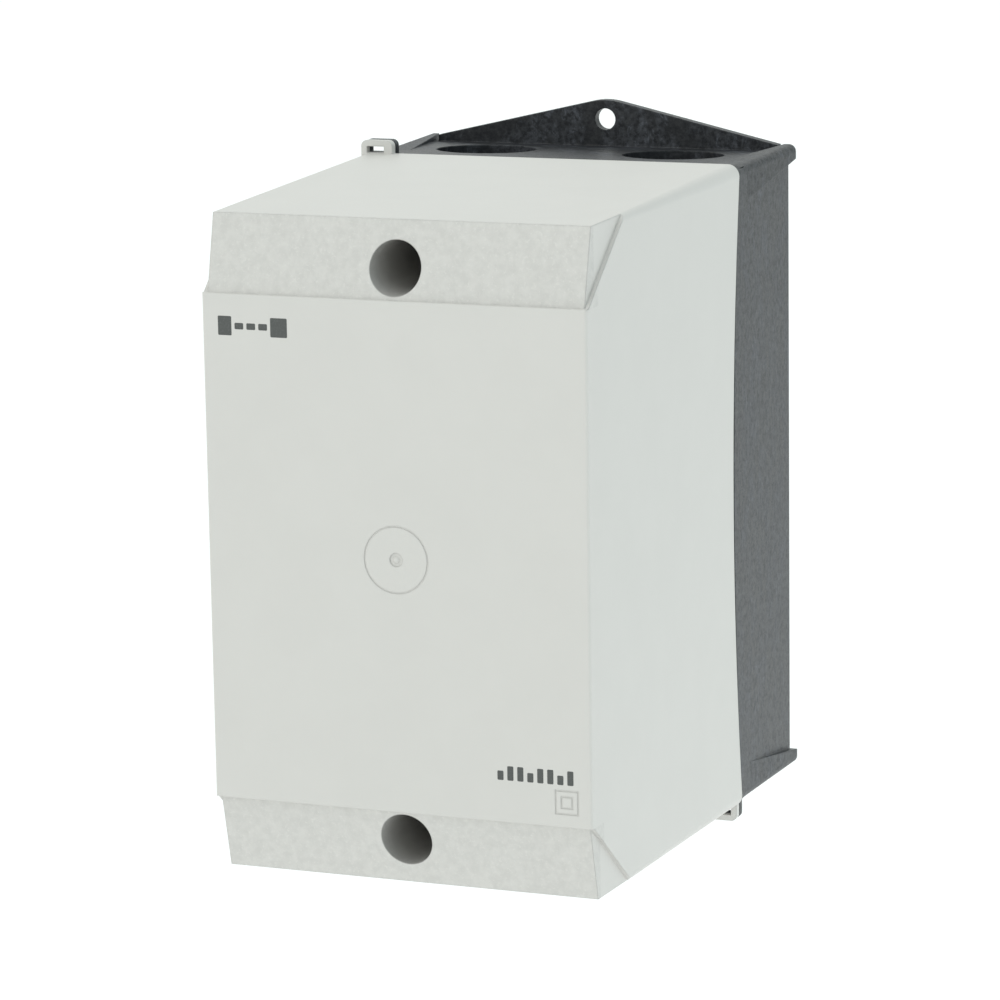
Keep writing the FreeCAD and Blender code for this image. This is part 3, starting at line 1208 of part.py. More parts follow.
def trip_slider():
    """A slotted bar that the bimetal strips push along X."""
    span = (SLIDER_OUT, SLIDER_OUT + SLIDER_THICK)
    z_range = about(CHAMBER_MIDDLE_Z, -SLIDER_HALF_HEIGHT, SLIDER_HALF_HEIGHT)
    slider = block((SLIDER_LEFT_X, LEVER_X - SLIDER_TO_LEVER), span, z_range)
    left, right = SLIDER_WINDOW
    window_z = about(CHAMBER_MIDDLE_Z, -SLIDER_WINDOW_HALF, SLIDER_WINDOW_HALF)
    windows = [block((x + left, x + right), past(span), window_z) for x in RELAY_POLES]
    return cut_all(slider, windows)


def trip_lever():
    half_x, half_z = LEVER_ARM_HALF
    tail_end, arm_end = LEVER_OUT
    hub_z = about(CONTROL_Z, -LEVER_HUB_HALF, LEVER_HUB_HALF)
    hub = upright(LEVER_HUB_R, LEVER_X, LEVER_PIVOT_OUT, hub_z)
    arm = centred_block(LEVER_X, CONTROL_Z, half_x, half_z, (LEVER_PIVOT_OUT, arm_end))
    tail = centred_block(LEVER_X, CONTROL_Z, half_x, half_z, (tail_end, LEVER_PIVOT_OUT))
    bore = upright(LEVER_PIN_R + SCREW_CLEAR, LEVER_X, LEVER_PIVOT_OUT, past(hub_z))
    return join([hub, arm, tail]).cut(bore)


def trip_lever_pin():
    z_range = (CHAMBER_LOW_Z - LEVER_PIN_SEAT, CHAMBER_TOP_Z + LEVER_PIN_SEAT)
    return upright(LEVER_PIN_R, LEVER_X, LEVER_PIVOT_OUT, z_range)


def aux_contact_blades():
    """Two spring blades that stand on the chamber's floor beside the lever."""
    blades = []
    back, front = BLADE_OUT
    top_z = CONTROL_Z + BLADE_HALF
    for x in BLADE_X:
        blade = block((x, x + BLADE), BLADE_OUT, (CONTROL_Z - BLADE_HALF, top_z))
        foot_x = (x - BLADE_FOOT_BORDER, x + BLADE + BLADE_FOOT_BORDER)
        foot = block(foot_x, (back, back + BLADE_FOOT), (CHAMBER_LOW_Z + REST_GAP, top_z))
        blades.append(join([blade, foot]))
    return blades


def motor_terminals():
    strips = []
    span = (RELAY_STRIP_OUT, RELAY_STRIP_OUT + STRIP - REST_GAP)
    for x in RELAY_POLES:
        strip = block((x - STRIP_HALF_WIDTH, x + STRIP_HALF_WIDTH), span, relay_strip_limits(0))
        strips.append(strip.cut(relay_screw_hole(x)))
    return strips


def relay_terminal_screws():
    seat = RELAY_STRIP_OUT + STRIP
    return [main_terminal_screw(x, RELAY_TERMINAL_Z, seat) for x in RELAY_POLES]


def aux_terminals():
    tabs = []
    span = (AUX_TAB_OUT, AUX_TAB_OUT + AUX_TAB)
    for x in AUX_X:
        tab = centred_block(x, AUX_Z, AUX_TAB_HALF, AUX_TAB_HALF, span)
        tabs.append(tab.cut(rod(SMALL_SCREW_R + RUN_CLEAR, x, AUX_Z, past(span))))
    return tabs


def aux_terminal_screws():
    seat = AUX_TAB_OUT + AUX_TAB + REST_GAP
    return [slotted_screw(x, AUX_Z, seat, AUX_HEAD_R, AUX_HEAD, SMALL_SCREW_R, AUX_SHANK) for x in AUX_X]


def setting_dial():
    """A slotted knob with a pointer notch, its shaft and the cam that it turns."""
    low = RELAY_FRONT_INNER_OUT + DIAL_SEAT + REST_GAP
    front = RELAY_FRONT_OUT + DIAL_PROUD
    cut_out = (RELAY_FRONT_OUT, front + BEYOND)
    knob = rod(DIAL_R, DIAL_X, CONTROL_Z, (low, front))
    knob = knob.makeChamfer(EDGE, edges_at(knob, front))
    shaft = rod(DIAL_SHAFT_R, DIAL_X, CONTROL_Z, (DIAL_CAM_OUT[0], low))
    cam = rod(DIAL_CAM_R, DIAL_X, CONTROL_Z, DIAL_CAM_OUT)
    slot = centred_block(DIAL_X, CONTROL_Z, SCREW_SLOT / 2, POINTER_SHARE * DIAL_R, cut_out)
    notch_z = CONTROL_Z + POINTER_SHARE * DIAL_R
    notch = centred_block(DIAL_X, notch_z, SCREW_SLOT, SCREW_SLOT / 2, cut_out)
    return cut_all(join([knob, shaft, cam]), [slot, notch])


def push_button(x, radius, proud):
    """A cap with a retaining flange and a stem that reaches into the trip chamber."""
    flange_front = BUTTON_FLANGE_OUT + BUTTON_FLANGE
    front = RELAY_FRONT_OUT + proud
    cap = rod(radius, x, CONTROL_Z, (BUTTON_FLANGE_OUT, front))
    cap = cap.makeFillet(BUTTON_EDGE_R, edges_at(cap, front))
    flange = rod(radius + BUTTON_FLANGE_BORDER, x, CONTROL_Z, (BUTTON_FLANGE_OUT, flange_front))
    stem = rod(BUTTON_STEM_R, x, CONTROL_Z, (BUTTON_STEM_OUT, BUTTON_FLANGE_OUT))
    return join([cap, flange, stem])


def button_spring(x):
    low = RELAY_COVER_OUT + REST_GAP
    length = BUTTON_FLANGE_OUT - REST_GAP - low
    return outward_spring(BUTTON_SPRING_R, BUTTON_SPRING_WIRE, BUTTON_SPRING_TURNS, x, CONTROL_Z, low, length)


# ---- all the nodes ----
def nodes():
    """Each node's name with the function that makes its solid or solids."""
    return {
        "rear_base": rear_base,
        "front_cover": front_cover,
        "cover_gasket": cover_gasket,
        "threaded_inserts": threaded_inserts,
        "upper_cover_screw": lambda: cover_screw(WELL_Z),
        "lower_cover_screw": lambda: cover_screw(-WELL_Z),
        "upper_screw_washer": lambda: screw_washer(WELL_Z),
        "lower_screw_washer": lambda: screw_washer(-WELL_Z),
        "din_rail": din_rail,
        "rail_screws": rail_screws,
        "earth_terminal_block": earth_terminal_block,
        "earth_terminal_screws": earth_terminal_screws,
        "contactor_rear_housing": contactor_rear_housing,
        "contactor_front_housing": contactor_front_housing,
        "rail_latch": rail_latch,
        "latch_spring": latch_spring,
        "fixed_core": fixed_core,
        "shading_rings": shading_rings,
        "core_cushion": core_cushion,
        "moving_armature": moving_armature,
        "armature_pin": armature_pin,
        "coil_bobbin": coil_bobbin,
        "coil_winding": coil_winding,
        "coil_terminals": coil_terminals,
        "coil_terminal_screws": coil_terminal_screws,
        "return_springs": return_springs,
        "contact_carrier": contact_carrier,
        "bridge_contacts": bridge_contacts,
        "contact_springs": contact_springs,
        "line_terminals": lambda: main_terminals(1),
        "load_terminals": lambda: main_terminals(-1),
        "terminal_clamps": terminal_clamps,
        "contactor_terminal_screws": contactor_terminal_screws,
        "relay_housing": relay_housing,
        "relay_back_cover": relay_back_cover,
        "relay_front_cover": relay_front_cover,
        "plug_pins": plug_pins,
        "bimetal_strips": bimetal_strips,
        "heater_windings": heater_windings,
        "trip_slider": trip_slider,
        "trip_lever": trip_lever,
        "trip_lever_pin": trip_lever_pin,
        "aux_contact_blades": aux_contact_blades,
        "motor_terminals": motor_terminals,
        "relay_terminal_screws": relay_terminal_screws,
        "aux_terminals": aux_terminals,
        "aux_terminal_screws": aux_terminal_screws,
        "setting_dial": setting_dial,
        "reset_button": lambda: push_button(RESET_X, RESET_R, RESET_PROUD),
        "stop_button": lambda: push_button(STOP_X, STOP_R, STOP_PROUD),
        "reset_spring": lambda: button_spring(RESET_X),
        "stop_spring": lambda: button_spring(STOP_X),
    }


def main():
    os.makedirs("parts", exist_ok=True)
    for name, make in nodes().items():
        made = make()
        shape = Part.makeCompound(made) if isinstance(made, list) else made
        count = len(shape.Solids)
        expected = len(made) if isinstance(made, list) else 1
        if count != expected or not shape.isValid():
            raise ValueError(f"{name}: {count} solids for {expected}, valid {shape.isValid()}")
        if expected == 1:
            shape = shape.Solids[0]
        shape.exportStep(f"parts/{name}.step")
        box = shape.optimalBoundingBox(False)
        size = f"{box.XLength:.1f} x {box.YLength:.1f} x {box.ZLength:.1f} mm"
        print(f"{name}: {count} solid(s), {shape.Volume:.0f} mm3, {size}")


main()
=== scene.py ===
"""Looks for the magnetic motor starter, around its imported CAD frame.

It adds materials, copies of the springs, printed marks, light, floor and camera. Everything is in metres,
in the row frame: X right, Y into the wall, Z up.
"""
import bpy
import bmesh
import json
import math
from mathutils import Matrix, Vector

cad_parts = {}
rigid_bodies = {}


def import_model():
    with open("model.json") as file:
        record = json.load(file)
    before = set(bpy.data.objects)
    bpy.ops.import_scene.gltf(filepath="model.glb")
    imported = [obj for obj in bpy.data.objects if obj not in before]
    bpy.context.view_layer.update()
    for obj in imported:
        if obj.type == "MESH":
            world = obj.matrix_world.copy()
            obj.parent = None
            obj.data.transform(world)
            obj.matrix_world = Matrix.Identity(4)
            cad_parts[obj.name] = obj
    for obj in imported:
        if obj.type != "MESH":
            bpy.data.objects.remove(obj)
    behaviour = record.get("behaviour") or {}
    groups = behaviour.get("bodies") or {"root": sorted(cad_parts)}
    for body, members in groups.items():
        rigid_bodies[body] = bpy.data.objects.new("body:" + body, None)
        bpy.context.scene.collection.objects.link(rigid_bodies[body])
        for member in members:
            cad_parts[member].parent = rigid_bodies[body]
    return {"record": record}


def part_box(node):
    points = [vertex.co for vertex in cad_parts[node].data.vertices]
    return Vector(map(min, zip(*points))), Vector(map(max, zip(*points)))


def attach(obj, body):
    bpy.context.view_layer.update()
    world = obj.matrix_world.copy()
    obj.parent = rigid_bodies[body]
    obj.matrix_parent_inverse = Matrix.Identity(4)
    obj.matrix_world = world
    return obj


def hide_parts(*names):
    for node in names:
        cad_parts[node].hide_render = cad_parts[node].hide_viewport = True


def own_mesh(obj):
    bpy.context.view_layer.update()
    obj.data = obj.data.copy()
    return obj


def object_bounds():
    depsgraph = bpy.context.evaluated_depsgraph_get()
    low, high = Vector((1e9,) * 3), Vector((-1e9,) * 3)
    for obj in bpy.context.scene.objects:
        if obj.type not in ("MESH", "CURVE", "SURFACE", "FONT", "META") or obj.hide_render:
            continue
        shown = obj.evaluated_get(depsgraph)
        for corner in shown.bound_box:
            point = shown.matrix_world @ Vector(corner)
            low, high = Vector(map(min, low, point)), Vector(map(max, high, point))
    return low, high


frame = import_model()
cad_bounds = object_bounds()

MM = 0.001

# ---- places on the starter, from its shape ----
PANEL_EDGE_Z = 60.0 * MM      # the bands lie beyond this height, either way
BAND_BACK_Y = -137.9 * MM     # and in front of this depth
WELL_HEIGHT = 67.2 * MM       # a screw well's axis, above and below the middle
WELL_RADIUS = 6.45 * MM
LIP_BACK_Y = -38.0 * MM       # the base's inner lip lies in front of this
LIP_HALF = (48.9 * MM, 79.3 * MM)
HALF_HEIGHT = 80.0 * MM
WIRE_PITCH = 0.28 * MM
SHEET_PITCH = 0.5 * MM        # one core sheet

# ---- colours of the enclosure and its marks ----
COVER_GREY = (0.640, 0.621, 0.594)
BASE_DARK = (0.0140, 0.0150, 0.0178)
# black for the shadow painted into the joint between base and cover
JOINT_SHADOW_BLACK = (0.002, 0.002, 0.002)
PRINT_GREY = (0.075, 0.078, 0.075)

# ---- softened edges, in looks only ----
COVER_EDGE_RADIUS = 0.55 * MM
BASE_EDGE_RADIUS = 0.45 * MM
EDGE_SAMPLES = 6

# ---- printed marks: lower left corners, and bars from there ----
GATE_MARK_PROUD = 0.12 * MM   # the cover's foremost point stands this far in front of its panel
PRINT_THICK = 0.02 * MM
PRINT_ROUND = 0.25 * MM
ROUND_STEPS = 5
UPPER_MARK_AT = (-43.4 * MM, 50.4 * MM)
UPPER_MARK_TALL = (0.0, 4.5 * MM)
UPPER_MARK_LOW = (1.5 * MM, 3.0 * MM)
UPPER_MARK_BARS = (           # each bar's start and width in mm, and its heights
    (0.0, 3.4, UPPER_MARK_TALL),
    (4.2, 2.2, UPPER_MARK_LOW),
    (7.2, 2.2, UPPER_MARK_LOW),
    (10.2, 2.2, UPPER_MARK_LOW),
    (13.2, 4.2, UPPER_MARK_TALL),
)
LOWER_MARK_AT = (24.2 * MM, -50.0 * MM)
LOWER_MARK_BARS = 8
LOWER_MARK_PITCH = 2.45 * MM
LOWER_MARK_WIDTH = 1.5 * MM
LOWER_MARK_TALL = 3.4 * MM
LOWER_MARK_SHORT = 2.2 * MM

# ---- camera, light and floor ----
CAMERA_AT = (0.3877, -1.0571, 0.2142)
CAMERA_YAW = math.radians(-21.637)
CAMERA_PITCH = math.radians(11.44)
CAMERA_ROLL = math.radians(-0.895)
CAMERA_LENS = 159.02
CAMERA_SENSOR = 36.0
CAMERA_REACH = 50.0
WORLD_LEFT = (1.04, 1.085, 1.06, 1.0)
WORLD_RIGHT = (0.53, 0.645, 0.675, 1.0)
FLOOR_DROP = 0.20
FLOOR_HALF = 6.0
FLOOR_GLOW = 0.13


# ---- node helpers ----
def opaque(colour):
    """A colour with full alpha, or the socket that carries it."""
    return colour if isinstance(colour, bpy.types.NodeSocket) else (*colour, 1.0)


class Tree:
    """A material's node tree with short calls to add nodes and links."""

    def __init__(self, name):
        self.material = bpy.data.materials.new(name)
        self.material.use_nodes = True
        self.nodes = self.material.node_tree.nodes
        self.links = self.material.node_tree.links
        self.shader = self.nodes["Principled BSDF"]
        self.place = self.nodes.new("ShaderNodeTexCoord").outputs["Object"]

    def feed(self, value, socket):
        """Link an output to a socket, or set the socket's own value."""
        if isinstance(value, bpy.types.NodeSocket):
            self.links.new(value, socket)
        else:
            socket.default_value = value

    def math(self, operation, first, second=0.0, clamp=False):
        """One operation on one or two values."""
        node = self.nodes.new("ShaderNodeMath")
        node.operation = operation
        node.use_clamp = clamp
        self.feed(first, node.inputs[0])
        self.feed(second, node.inputs[1])
        return node.outputs[0]

    def stretched(self, scale):
        """The object coordinates, scaled by a different amount along each axis."""
        node = self.nodes.new("ShaderNodeMapping")
        self.links.new(self.place, node.inputs["Vector"])
        node.inputs["Scale"].default_value = scale
        return node.outputs[0]

    def noise(self, size, detail=2.0, roughness=0.5, vector=None, distortion=0.0):
        """Noise whose blobs are about size metres across."""
        node = self.nodes.new("ShaderNodeTexNoise")
        self.links.new(vector or self.place, node.inputs["Vector"])
        node.inputs["Scale"].default_value = 1.0 / size
        node.inputs["Detail"].default_value = detail
        node.inputs["Roughness"].default_value = roughness
        node.inputs["Distortion"].default_value = distortion
        return node.outputs["Fac"]

    def soft_edges(self, radius):
        """A normal that rounds sharp edges by a small radius."""
        node = self.nodes.new("ShaderNodeBevel")
        node.samples = EDGE_SAMPLES
        node.inputs["Radius"].default_value = radius
        return node.outputs["Normal"]

    def inside(self, value, low, high):
        """1 where the value lies between low and high."""
        above = self.math("GREATER_THAN", value, low)
        return self.math("MULTIPLY", above, self.math("LESS_THAN", value, high))

    def fit(self, value, low, high, to_low=0.0, to_high=1.0):
        """Map low..high to to_low..to_high, clamped."""
        node = self.nodes.new("ShaderNodeMapRange")
        self.feed(value, node.inputs["Value"])
        for name, number in (("From Min", low), ("From Max", high), ("To Min", to_low), ("To Max", to_high)):
            node.inputs[name].default_value = number
        return node.outputs[0]

    def blend(self, factor, first, second):
        """Mix two colours."""
        node = self.nodes.new("ShaderNodeMix")
        node.data_type = "RGBA"
        self.feed(factor, node.inputs["Factor"])
        colours = [socket for socket in node.inputs if socket.type == "RGBA"]
        for value, socket in zip((first, second), colours):
            self.feed(opaque(value), socket)
        return [socket for socket in node.outputs if socket.type == "RGBA"][0]

    def axis(self, name):
        """One coordinate of the point, in metres."""
        node = self.nodes.new("ShaderNodeSeparateXYZ")
        self.links.new(self.place, node.inputs[0])
        return node.outputs[name]

    def bump(self, height, distance, strength, after=None):
        """A normal raised by height, laid over an earlier normal if there is one."""
        node = self.nodes.new("ShaderNodeBump")
        node.inputs["Strength"].default_value = strength
        node.inputs["Distance"].default_value = distance
        self.links.new(height, node.inputs["Height"])
        if after is not None:
            self.links.new(after, node.inputs["Normal"])
        return node.outputs["Normal"]

    def finish(self, colour, roughness, normal=None, metallic=0.0, specular=0.5):
        """Set the shader's inputs and hand back the material."""
        self.feed(opaque(colour), self.shader.inputs["Base Color"])
        self.feed(roughness, self.shader.inputs["Roughness"])
        self.feed(specular, self.shader.inputs["Specular IOR Level"])
        self.shader.inputs["Metallic"].default_value = metallic
        if normal is not None:
            self.links.new(normal, self.shader.inputs["Normal"])
        return self.material


def shade(colour, amount):
    """A colour made lighter (amount over 1) or darker."""
    return tuple(min(1.0, channel * amount) for channel in colour)


# ---- materials ----
def cover_plastic():
    """Light grey moulded plastic: fine grain, coarser on the two bands, and painted shade down the screw
    wells.
    """
    tree = Tree("cover_plastic")
    height = tree.math("ABSOLUTE", tree.axis("Z"))
    beyond = tree.math("GREATER_THAN", height, PANEL_EDGE_Z)
    band = tree.math("MULTIPLY", beyond, tree.math("LESS_THAN", tree.axis("Y"), BAND_BACK_Y))
    # round mask of the screw wells, where shade is painted into the colour
    rise = tree.math("SUBTRACT", height, WELL_HEIGHT)
    squares = tree.math("ADD", tree.math("POWER", rise, 2.0), tree.math("POWER", tree.axis("X"), 2.0))
    off_axis = tree.math("SQRT", squares)
    well_painted_shade = tree.math("LESS_THAN", off_axis, WELL_RADIUS)
    cloud = tree.noise(14 * MM, 4.0, 0.55)
    mottle = tree.noise(2.2 * MM, 4.0, 0.65)
    speck = tree.fit(tree.noise(0.8 * MM, 2.0, 0.7), 0.56, 0.70)
    plain = tree.blend(tree.fit(cloud, 0.35, 0.65, 0.0, 0.5), COVER_GREY, shade(COVER_GREY, 0.97))
    band_tone = tree.blend(tree.fit(mottle, 0.36, 0.64), shade(COVER_GREY, 0.905), shade(COVER_GREY, 0.99))
    band_tone = tree.blend(tree.math("MULTIPLY", speck, 0.6), band_tone, shade(COVER_GREY, 1.07))
    colour = tree.blend(band, plain, band_tone)
    # painted shade: inside each screw well the colour goes halfway towards a dark grey
    colour = tree.blend(tree.math("MULTIPLY", well_painted_shade, 0.5), colour, shade(COVER_GREY, 0.45))
    grain = tree.noise(0.35 * MM, 2.0, 0.6)
    coarse = tree.math("MULTIPLY", tree.noise(1.0 * MM, 3.0, 0.65), band)
    relief = tree.math("ADD", tree.math("MULTIPLY", grain, 0.5), tree.math("MULTIPLY", coarse, 2.0))
    roughness = tree.math("ADD", tree.fit(grain, 0.3, 0.7, 0.42, 0.52), tree.math("MULTIPLY", band, 0.08))
    normal = tree.bump(relief, 0.05 * MM, 0.55, tree.soft_edges(COVER_EDGE_RADIUS))
    return tree.finish(colour, roughness, normal)


def base_plastic():
    """Dark grey glass-filled plastic: cloudy flow marks, pale rub marks, and painted shadow, black, on the
    inner lip inside the joint.
    """
    tree = Tree("base_plastic")
    flow = tree.noise(11 * MM, 6.0, 0.62, tree.stretched((1.0, 1.5, 0.5)), 1.4)
    fibre = tree.noise(1.6 * MM, 5.0, 0.72)
    scuff = tree.noise(3.4 * MM, 5.0, 0.75, tree.stretched((1.0, 2.4, 0.7)), 2.2)
    rub = tree.math("MULTIPLY", tree.fit(flow, 0.44, 0.60), tree.fit(fibre, 0.40, 0.60))
    marks = tree.math("MULTIPLY", tree.fit(scuff, 0.53, 0.66), tree.fit(flow, 0.44, 0.56))
    colour = tree.blend(tree.math("MULTIPLY", rub, 0.9), BASE_DARK, shade(BASE_DARK, 3.6))
    colour = tree.blend(tree.math("MULTIPLY", marks, 0.85), colour, shade(BASE_DARK, 7.0))
    # painted shadow: the base's inner lip, seen in the gap at the joint, is coloured black for the shadow
    # between cover and base
    joint_shadow = tree.math("LESS_THAN", tree.axis("Y"), LIP_BACK_Y)
    for name, half in zip(("X", "Z"), LIP_HALF):
        joint_shadow = tree.math("MULTIPLY", joint_shadow, tree.inside(tree.axis(name), -half, half))
    colour = tree.blend(joint_shadow, colour, JOINT_SHADOW_BLACK)
    grain = tree.noise(0.45 * MM, 3.0, 0.6)
    relief = tree.math("ADD", grain, tree.math("MULTIPLY", flow, 1.4))
    roughness = tree.math("ADD", tree.fit(grain, 0.3, 0.7, 0.38, 0.50), tree.math("MULTIPLY", rub, 0.10))
    gloss = tree.fit(tree.axis("Z"), -HALF_HEIGHT, HALF_HEIGHT, 1.45, 0.82)
    shine = tree.math("MULTIPLY", tree.fit(fibre, 0.38, 0.62, 0.28, 0.68), gloss)
    # the painted shadow also takes half the reflection off the lip
    shine = tree.math("SUBTRACT", shine, tree.math("MULTIPLY", joint_shadow, 0.5), clamp=True)
    normal = tree.bump(relief, 0.07 * MM, 0.55, tree.soft_edges(BASE_EDGE_RADIUS))
    return tree.finish(colour, roughness, normal, specular=shine)


def moulded(name, colour, roughness=0.42, variation=0.93):
    """A plain moulded plastic with a fine texture and a little unevenness."""
    tree = Tree(name)
    cloud = tree.noise(6 * MM, 3.0, 0.55)
    tone = tree.blend(tree.fit(cloud, 0.35, 0.65), colour, shade(colour, variation))
    fine = tree.noise(0.4 * MM, 2.0, 0.6)
    rough = tree.fit(fine, 0.3, 0.7, roughness - 0.05, roughness + 0.05)
    return tree.finish(tone, rough, tree.bump(fine, 0.03 * MM, 0.5))


def metal(name, colour, roughness=0.3, streak=(1.0, 1.0, 1.0)):
    """A plated or drawn metal with fine streaks and slightly dulled patches."""
    tree = Tree(name)
    streaks = tree.noise(0.6 * MM, 3.0, 0.6, tree.stretched(streak))
    patches = tree.noise(5 * MM, 3.0, 0.6)
    tone = tree.blend(tree.fit(patches, 0.40, 0.66), colour, shade(colour, 0.82))
    drawn = tree.fit(streaks, 0.3, 0.7, roughness - 0.06, roughness + 0.08)
    rough = tree.math("ADD", drawn, tree.fit(patches, 0.4, 0.7, 0.0, 0.08))
    return tree.finish(tone, rough, tree.bump(streaks, 0.02 * MM, 0.4), metallic=1.0)


def wound_wire(name, colour, pitch, axis):
    """Enamelled wire wound in close turns, stacked along one axis."""
    tree = Tree(name)
    turns = tree.math("SINE", tree.math("MULTIPLY", tree.axis(axis), 2.0 * math.pi / pitch))
    groove_depth_and_shade = tree.fit(turns, -1.0, 0.6)
    uneven = tree.noise(1.5 * MM, 2.0, 0.6)
    # painted shade: the wire colour darkens towards 35 percent in the grooves between turns, which also sink
    # in the bump
    tone = tree.blend(groove_depth_and_shade, shade(colour, 0.35), colour)
    tone = tree.blend(tree.fit(uneven, 0.35, 0.7, 0.0, 0.5), tone, shade(colour, 0.7))
    normal = tree.bump(groove_depth_and_shade, 0.1 * MM, 0.7)
    return tree.finish(tone, tree.fit(uneven, 0.3, 0.7, 0.25, 0.38), normal, metallic=0.85)


def laminated_steel(name, colour):
    """Stacked core sheets, seen as fine lines across X."""
    tree = Tree(name)
    sheets = tree.math("SINE", tree.math("MULTIPLY", tree.axis("X"), 2.0 * math.pi / SHEET_PITCH))
    line = tree.fit(sheets, -1.0, -0.6)
    rust = tree.fit(tree.noise(3 * MM, 4.0, 0.6), 0.5, 0.72)
    tone = tree.blend(line, shade(colour, 0.4), colour)
    tone = tree.blend(tree.math("MULTIPLY", rust, 0.3), tone, (0.16, 0.1, 0.07))
    normal = tree.bump(line, 0.03 * MM, 0.6)
    return tree.finish(tone, tree.fit(rust, 0.0, 1.0, 0.38, 0.6), normal, metallic=0.8)


def rubber(name, colour):
    """Dull soft rubber with a fine grain."""
    tree = Tree(name)
    fine = tree.noise(0.3 * MM, 2.0, 0.7)
    tone = tree.blend(tree.fit(fine, 0.3, 0.7), colour, shade(colour, 1.5))
    normal = tree.bump(fine, 0.04 * MM, 0.5)
    return tree.finish(tone, tree.fit(fine, 0.3, 0.7, 0.7, 0.85), normal, specular=0.35)


def printed_ink(name, colour):
    """Pad-printed ink: nearly flat, a little uneven where the print is thin."""
    tree = Tree(name)
    thin = tree.noise(0.5 * MM, 3.0, 0.7)
    tone = tree.blend(tree.fit(thin, 0.5, 0.75), colour, shade(colour, 1.5))
    return tree.finish(tone, tree.fit(thin, 0.3, 0.7, 0.45, 0.6), tree.bump(thin, 0.01 * MM, 0.3))


def all_materials():
    """Each material slot of the record with its finished material."""
    return {
        "cover_plastic": cover_plastic(),
        "base_plastic": base_plastic(),
        "seal_rubber": rubber("seal_rubber", (0.02, 0.02, 0.02)),
        "brass": metal("brass", (0.78, 0.56, 0.24), 0.28, (1.0, 0.15, 1.0)),
        "screw_steel": metal("screw_steel", (0.66, 0.66, 0.63), 0.26, (1.0, 0.2, 1.0)),
        "washer_plastic": moulded("washer_plastic", (0.62, 0.62, 0.58)),
        "rail_steel": metal("rail_steel", (0.70, 0.70, 0.67), 0.3, (0.08, 1.0, 1.0)),
        "earth_plastic": moulded("earth_plastic", (0.16, 0.36, 0.06), 0.35),
        "device_dark_plastic": moulded("device_dark_plastic", (0.022, 0.023, 0.025), 0.45, variation=1.35),
        "device_light_plastic": moulded("device_light_plastic", (0.10, 0.11, 0.115), 0.45, variation=1.15),
        "latch_plastic": moulded("latch_plastic", (0.03, 0.03, 0.035), 0.4, variation=1.3),
        "spring_steel": metal("spring_steel", (0.62, 0.61, 0.58), 0.22),
        "core_steel": laminated_steel("core_steel", (0.36, 0.36, 0.37)),
        "copper": metal("copper", (0.74, 0.36, 0.18), 0.27),
        "bobbin_plastic": moulded("bobbin_plastic", (0.62, 0.55, 0.38), 0.4),
        "carrier_plastic": moulded("carrier_plastic", (0.03, 0.03, 0.035), 0.38, variation=1.3),
        "terminal_metal": metal("terminal_metal", (0.72, 0.68, 0.58), 0.25, (1.0, 1.0, 0.2)),
        "heater_alloy": metal("heater_alloy", (0.42, 0.36, 0.30), 0.35),
        "dial_plastic": moulded("dial_plastic", (0.66, 0.66, 0.63), 0.3),
        "reset_plastic": moulded("reset_plastic", (0.01, 0.045, 0.28), 0.28),
        "stop_plastic": moulded("stop_plastic", (0.42, 0.012, 0.012), 0.28),
    }


def dress_cad_nodes(materials):
    """Give every CAD node the finished material of its record slot."""
    slot_of = {part["node"]: part["material_slot"] for part in frame["record"]["subparts"]}
    for node, slot in slot_of.items():
        obj = bpy.data.objects[node]
        finished = materials[slot]
        if node == "coil_winding":
            finished = wound_wire("coil_wire", (0.62, 0.26, 0.11), WIRE_PITCH, "Y")
        for index in range(len(obj.material_slots)):
            obj.material_slots[index].material = finished


# ---- copies of the springs that deform with a joint ----
def shortening_spring(joint, spring):
    """A copy of a CAD spring, fixed to the joint's parent body, standing in for the hidden original."""
    node = spring["node"]
    source = bpy.data.objects[node]
    piece = source.copy()
    piece.data = source.data.copy()
    piece.name = node + "_pressed"
    piece.parent = None
    piece.matrix_world = source.matrix_world.copy()
    bpy.context.scene.collection.objects.link(piece)
    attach(piece, joint["parent"])
    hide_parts(node)
    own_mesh(piece)


def shortening_springs():
    """Every spring that the record says deforms with a joint."""
    for joint in frame["record"]["behaviour"]["joints"]:
        for spring in joint.get("deforming_nodes", []):
            shortening_spring(joint, spring)


# ---- printed marks ----
def bar(mesh, x_range, z_range, y_range, round_by):
    """Add one rounded flat bar that faces the front to a bmesh."""
    corners = []
    for cx, cz, start in (
        (x_range[1] - round_by, z_range[1] - round_by, 0),
        (x_range[0] + round_by, z_range[1] - round_by, 90),
        (x_range[0] + round_by, z_range[0] + round_by, 180),
        (x_range[1] - round_by, z_range[0] + round_by, 270),
    ):
        for step in range(ROUND_STEPS + 1):
            angle = math.radians(start + 90 * step / ROUND_STEPS)
            corners.append((cx + round_by * math.cos(angle), cz + round_by * math.sin(angle)))
    front = [mesh.verts.new((x, y_range[0], z)) for x, z in corners]
    back = [mesh.verts.new((x, y_range[1], z)) for x, z in corners]
    mesh.faces.new(front[::-1])
    mesh.faces.new(back)
    for index in range(len(corners)):
        following = (index + 1) % len(corners)
        mesh.faces.new((front[index], front[following], back[following], back[index]))


def printed_piece(name, bars, ink):
    """A printed mark on the cover's front panel, made of flat rounded bars."""
    panel_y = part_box("front_cover")[0][1] + GATE_MARK_PROUD
    mesh = bmesh.new()
    for x_range, z_range in bars:
        bar(mesh, x_range, z_range, (panel_y - PRINT_THICK, panel_y + PRINT_THICK), PRINT_ROUND)
    bmesh.ops.recalc_face_normals(mesh, faces=mesh.faces)
    data = bpy.data.meshes.new(name)
    mesh.to_mesh(data)
    mesh.free()
    piece = bpy.data.objects.new(name, data)
    bpy.context.scene.collection.objects.link(piece)
    piece.data.materials.append(ink)
    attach(piece, "cover")


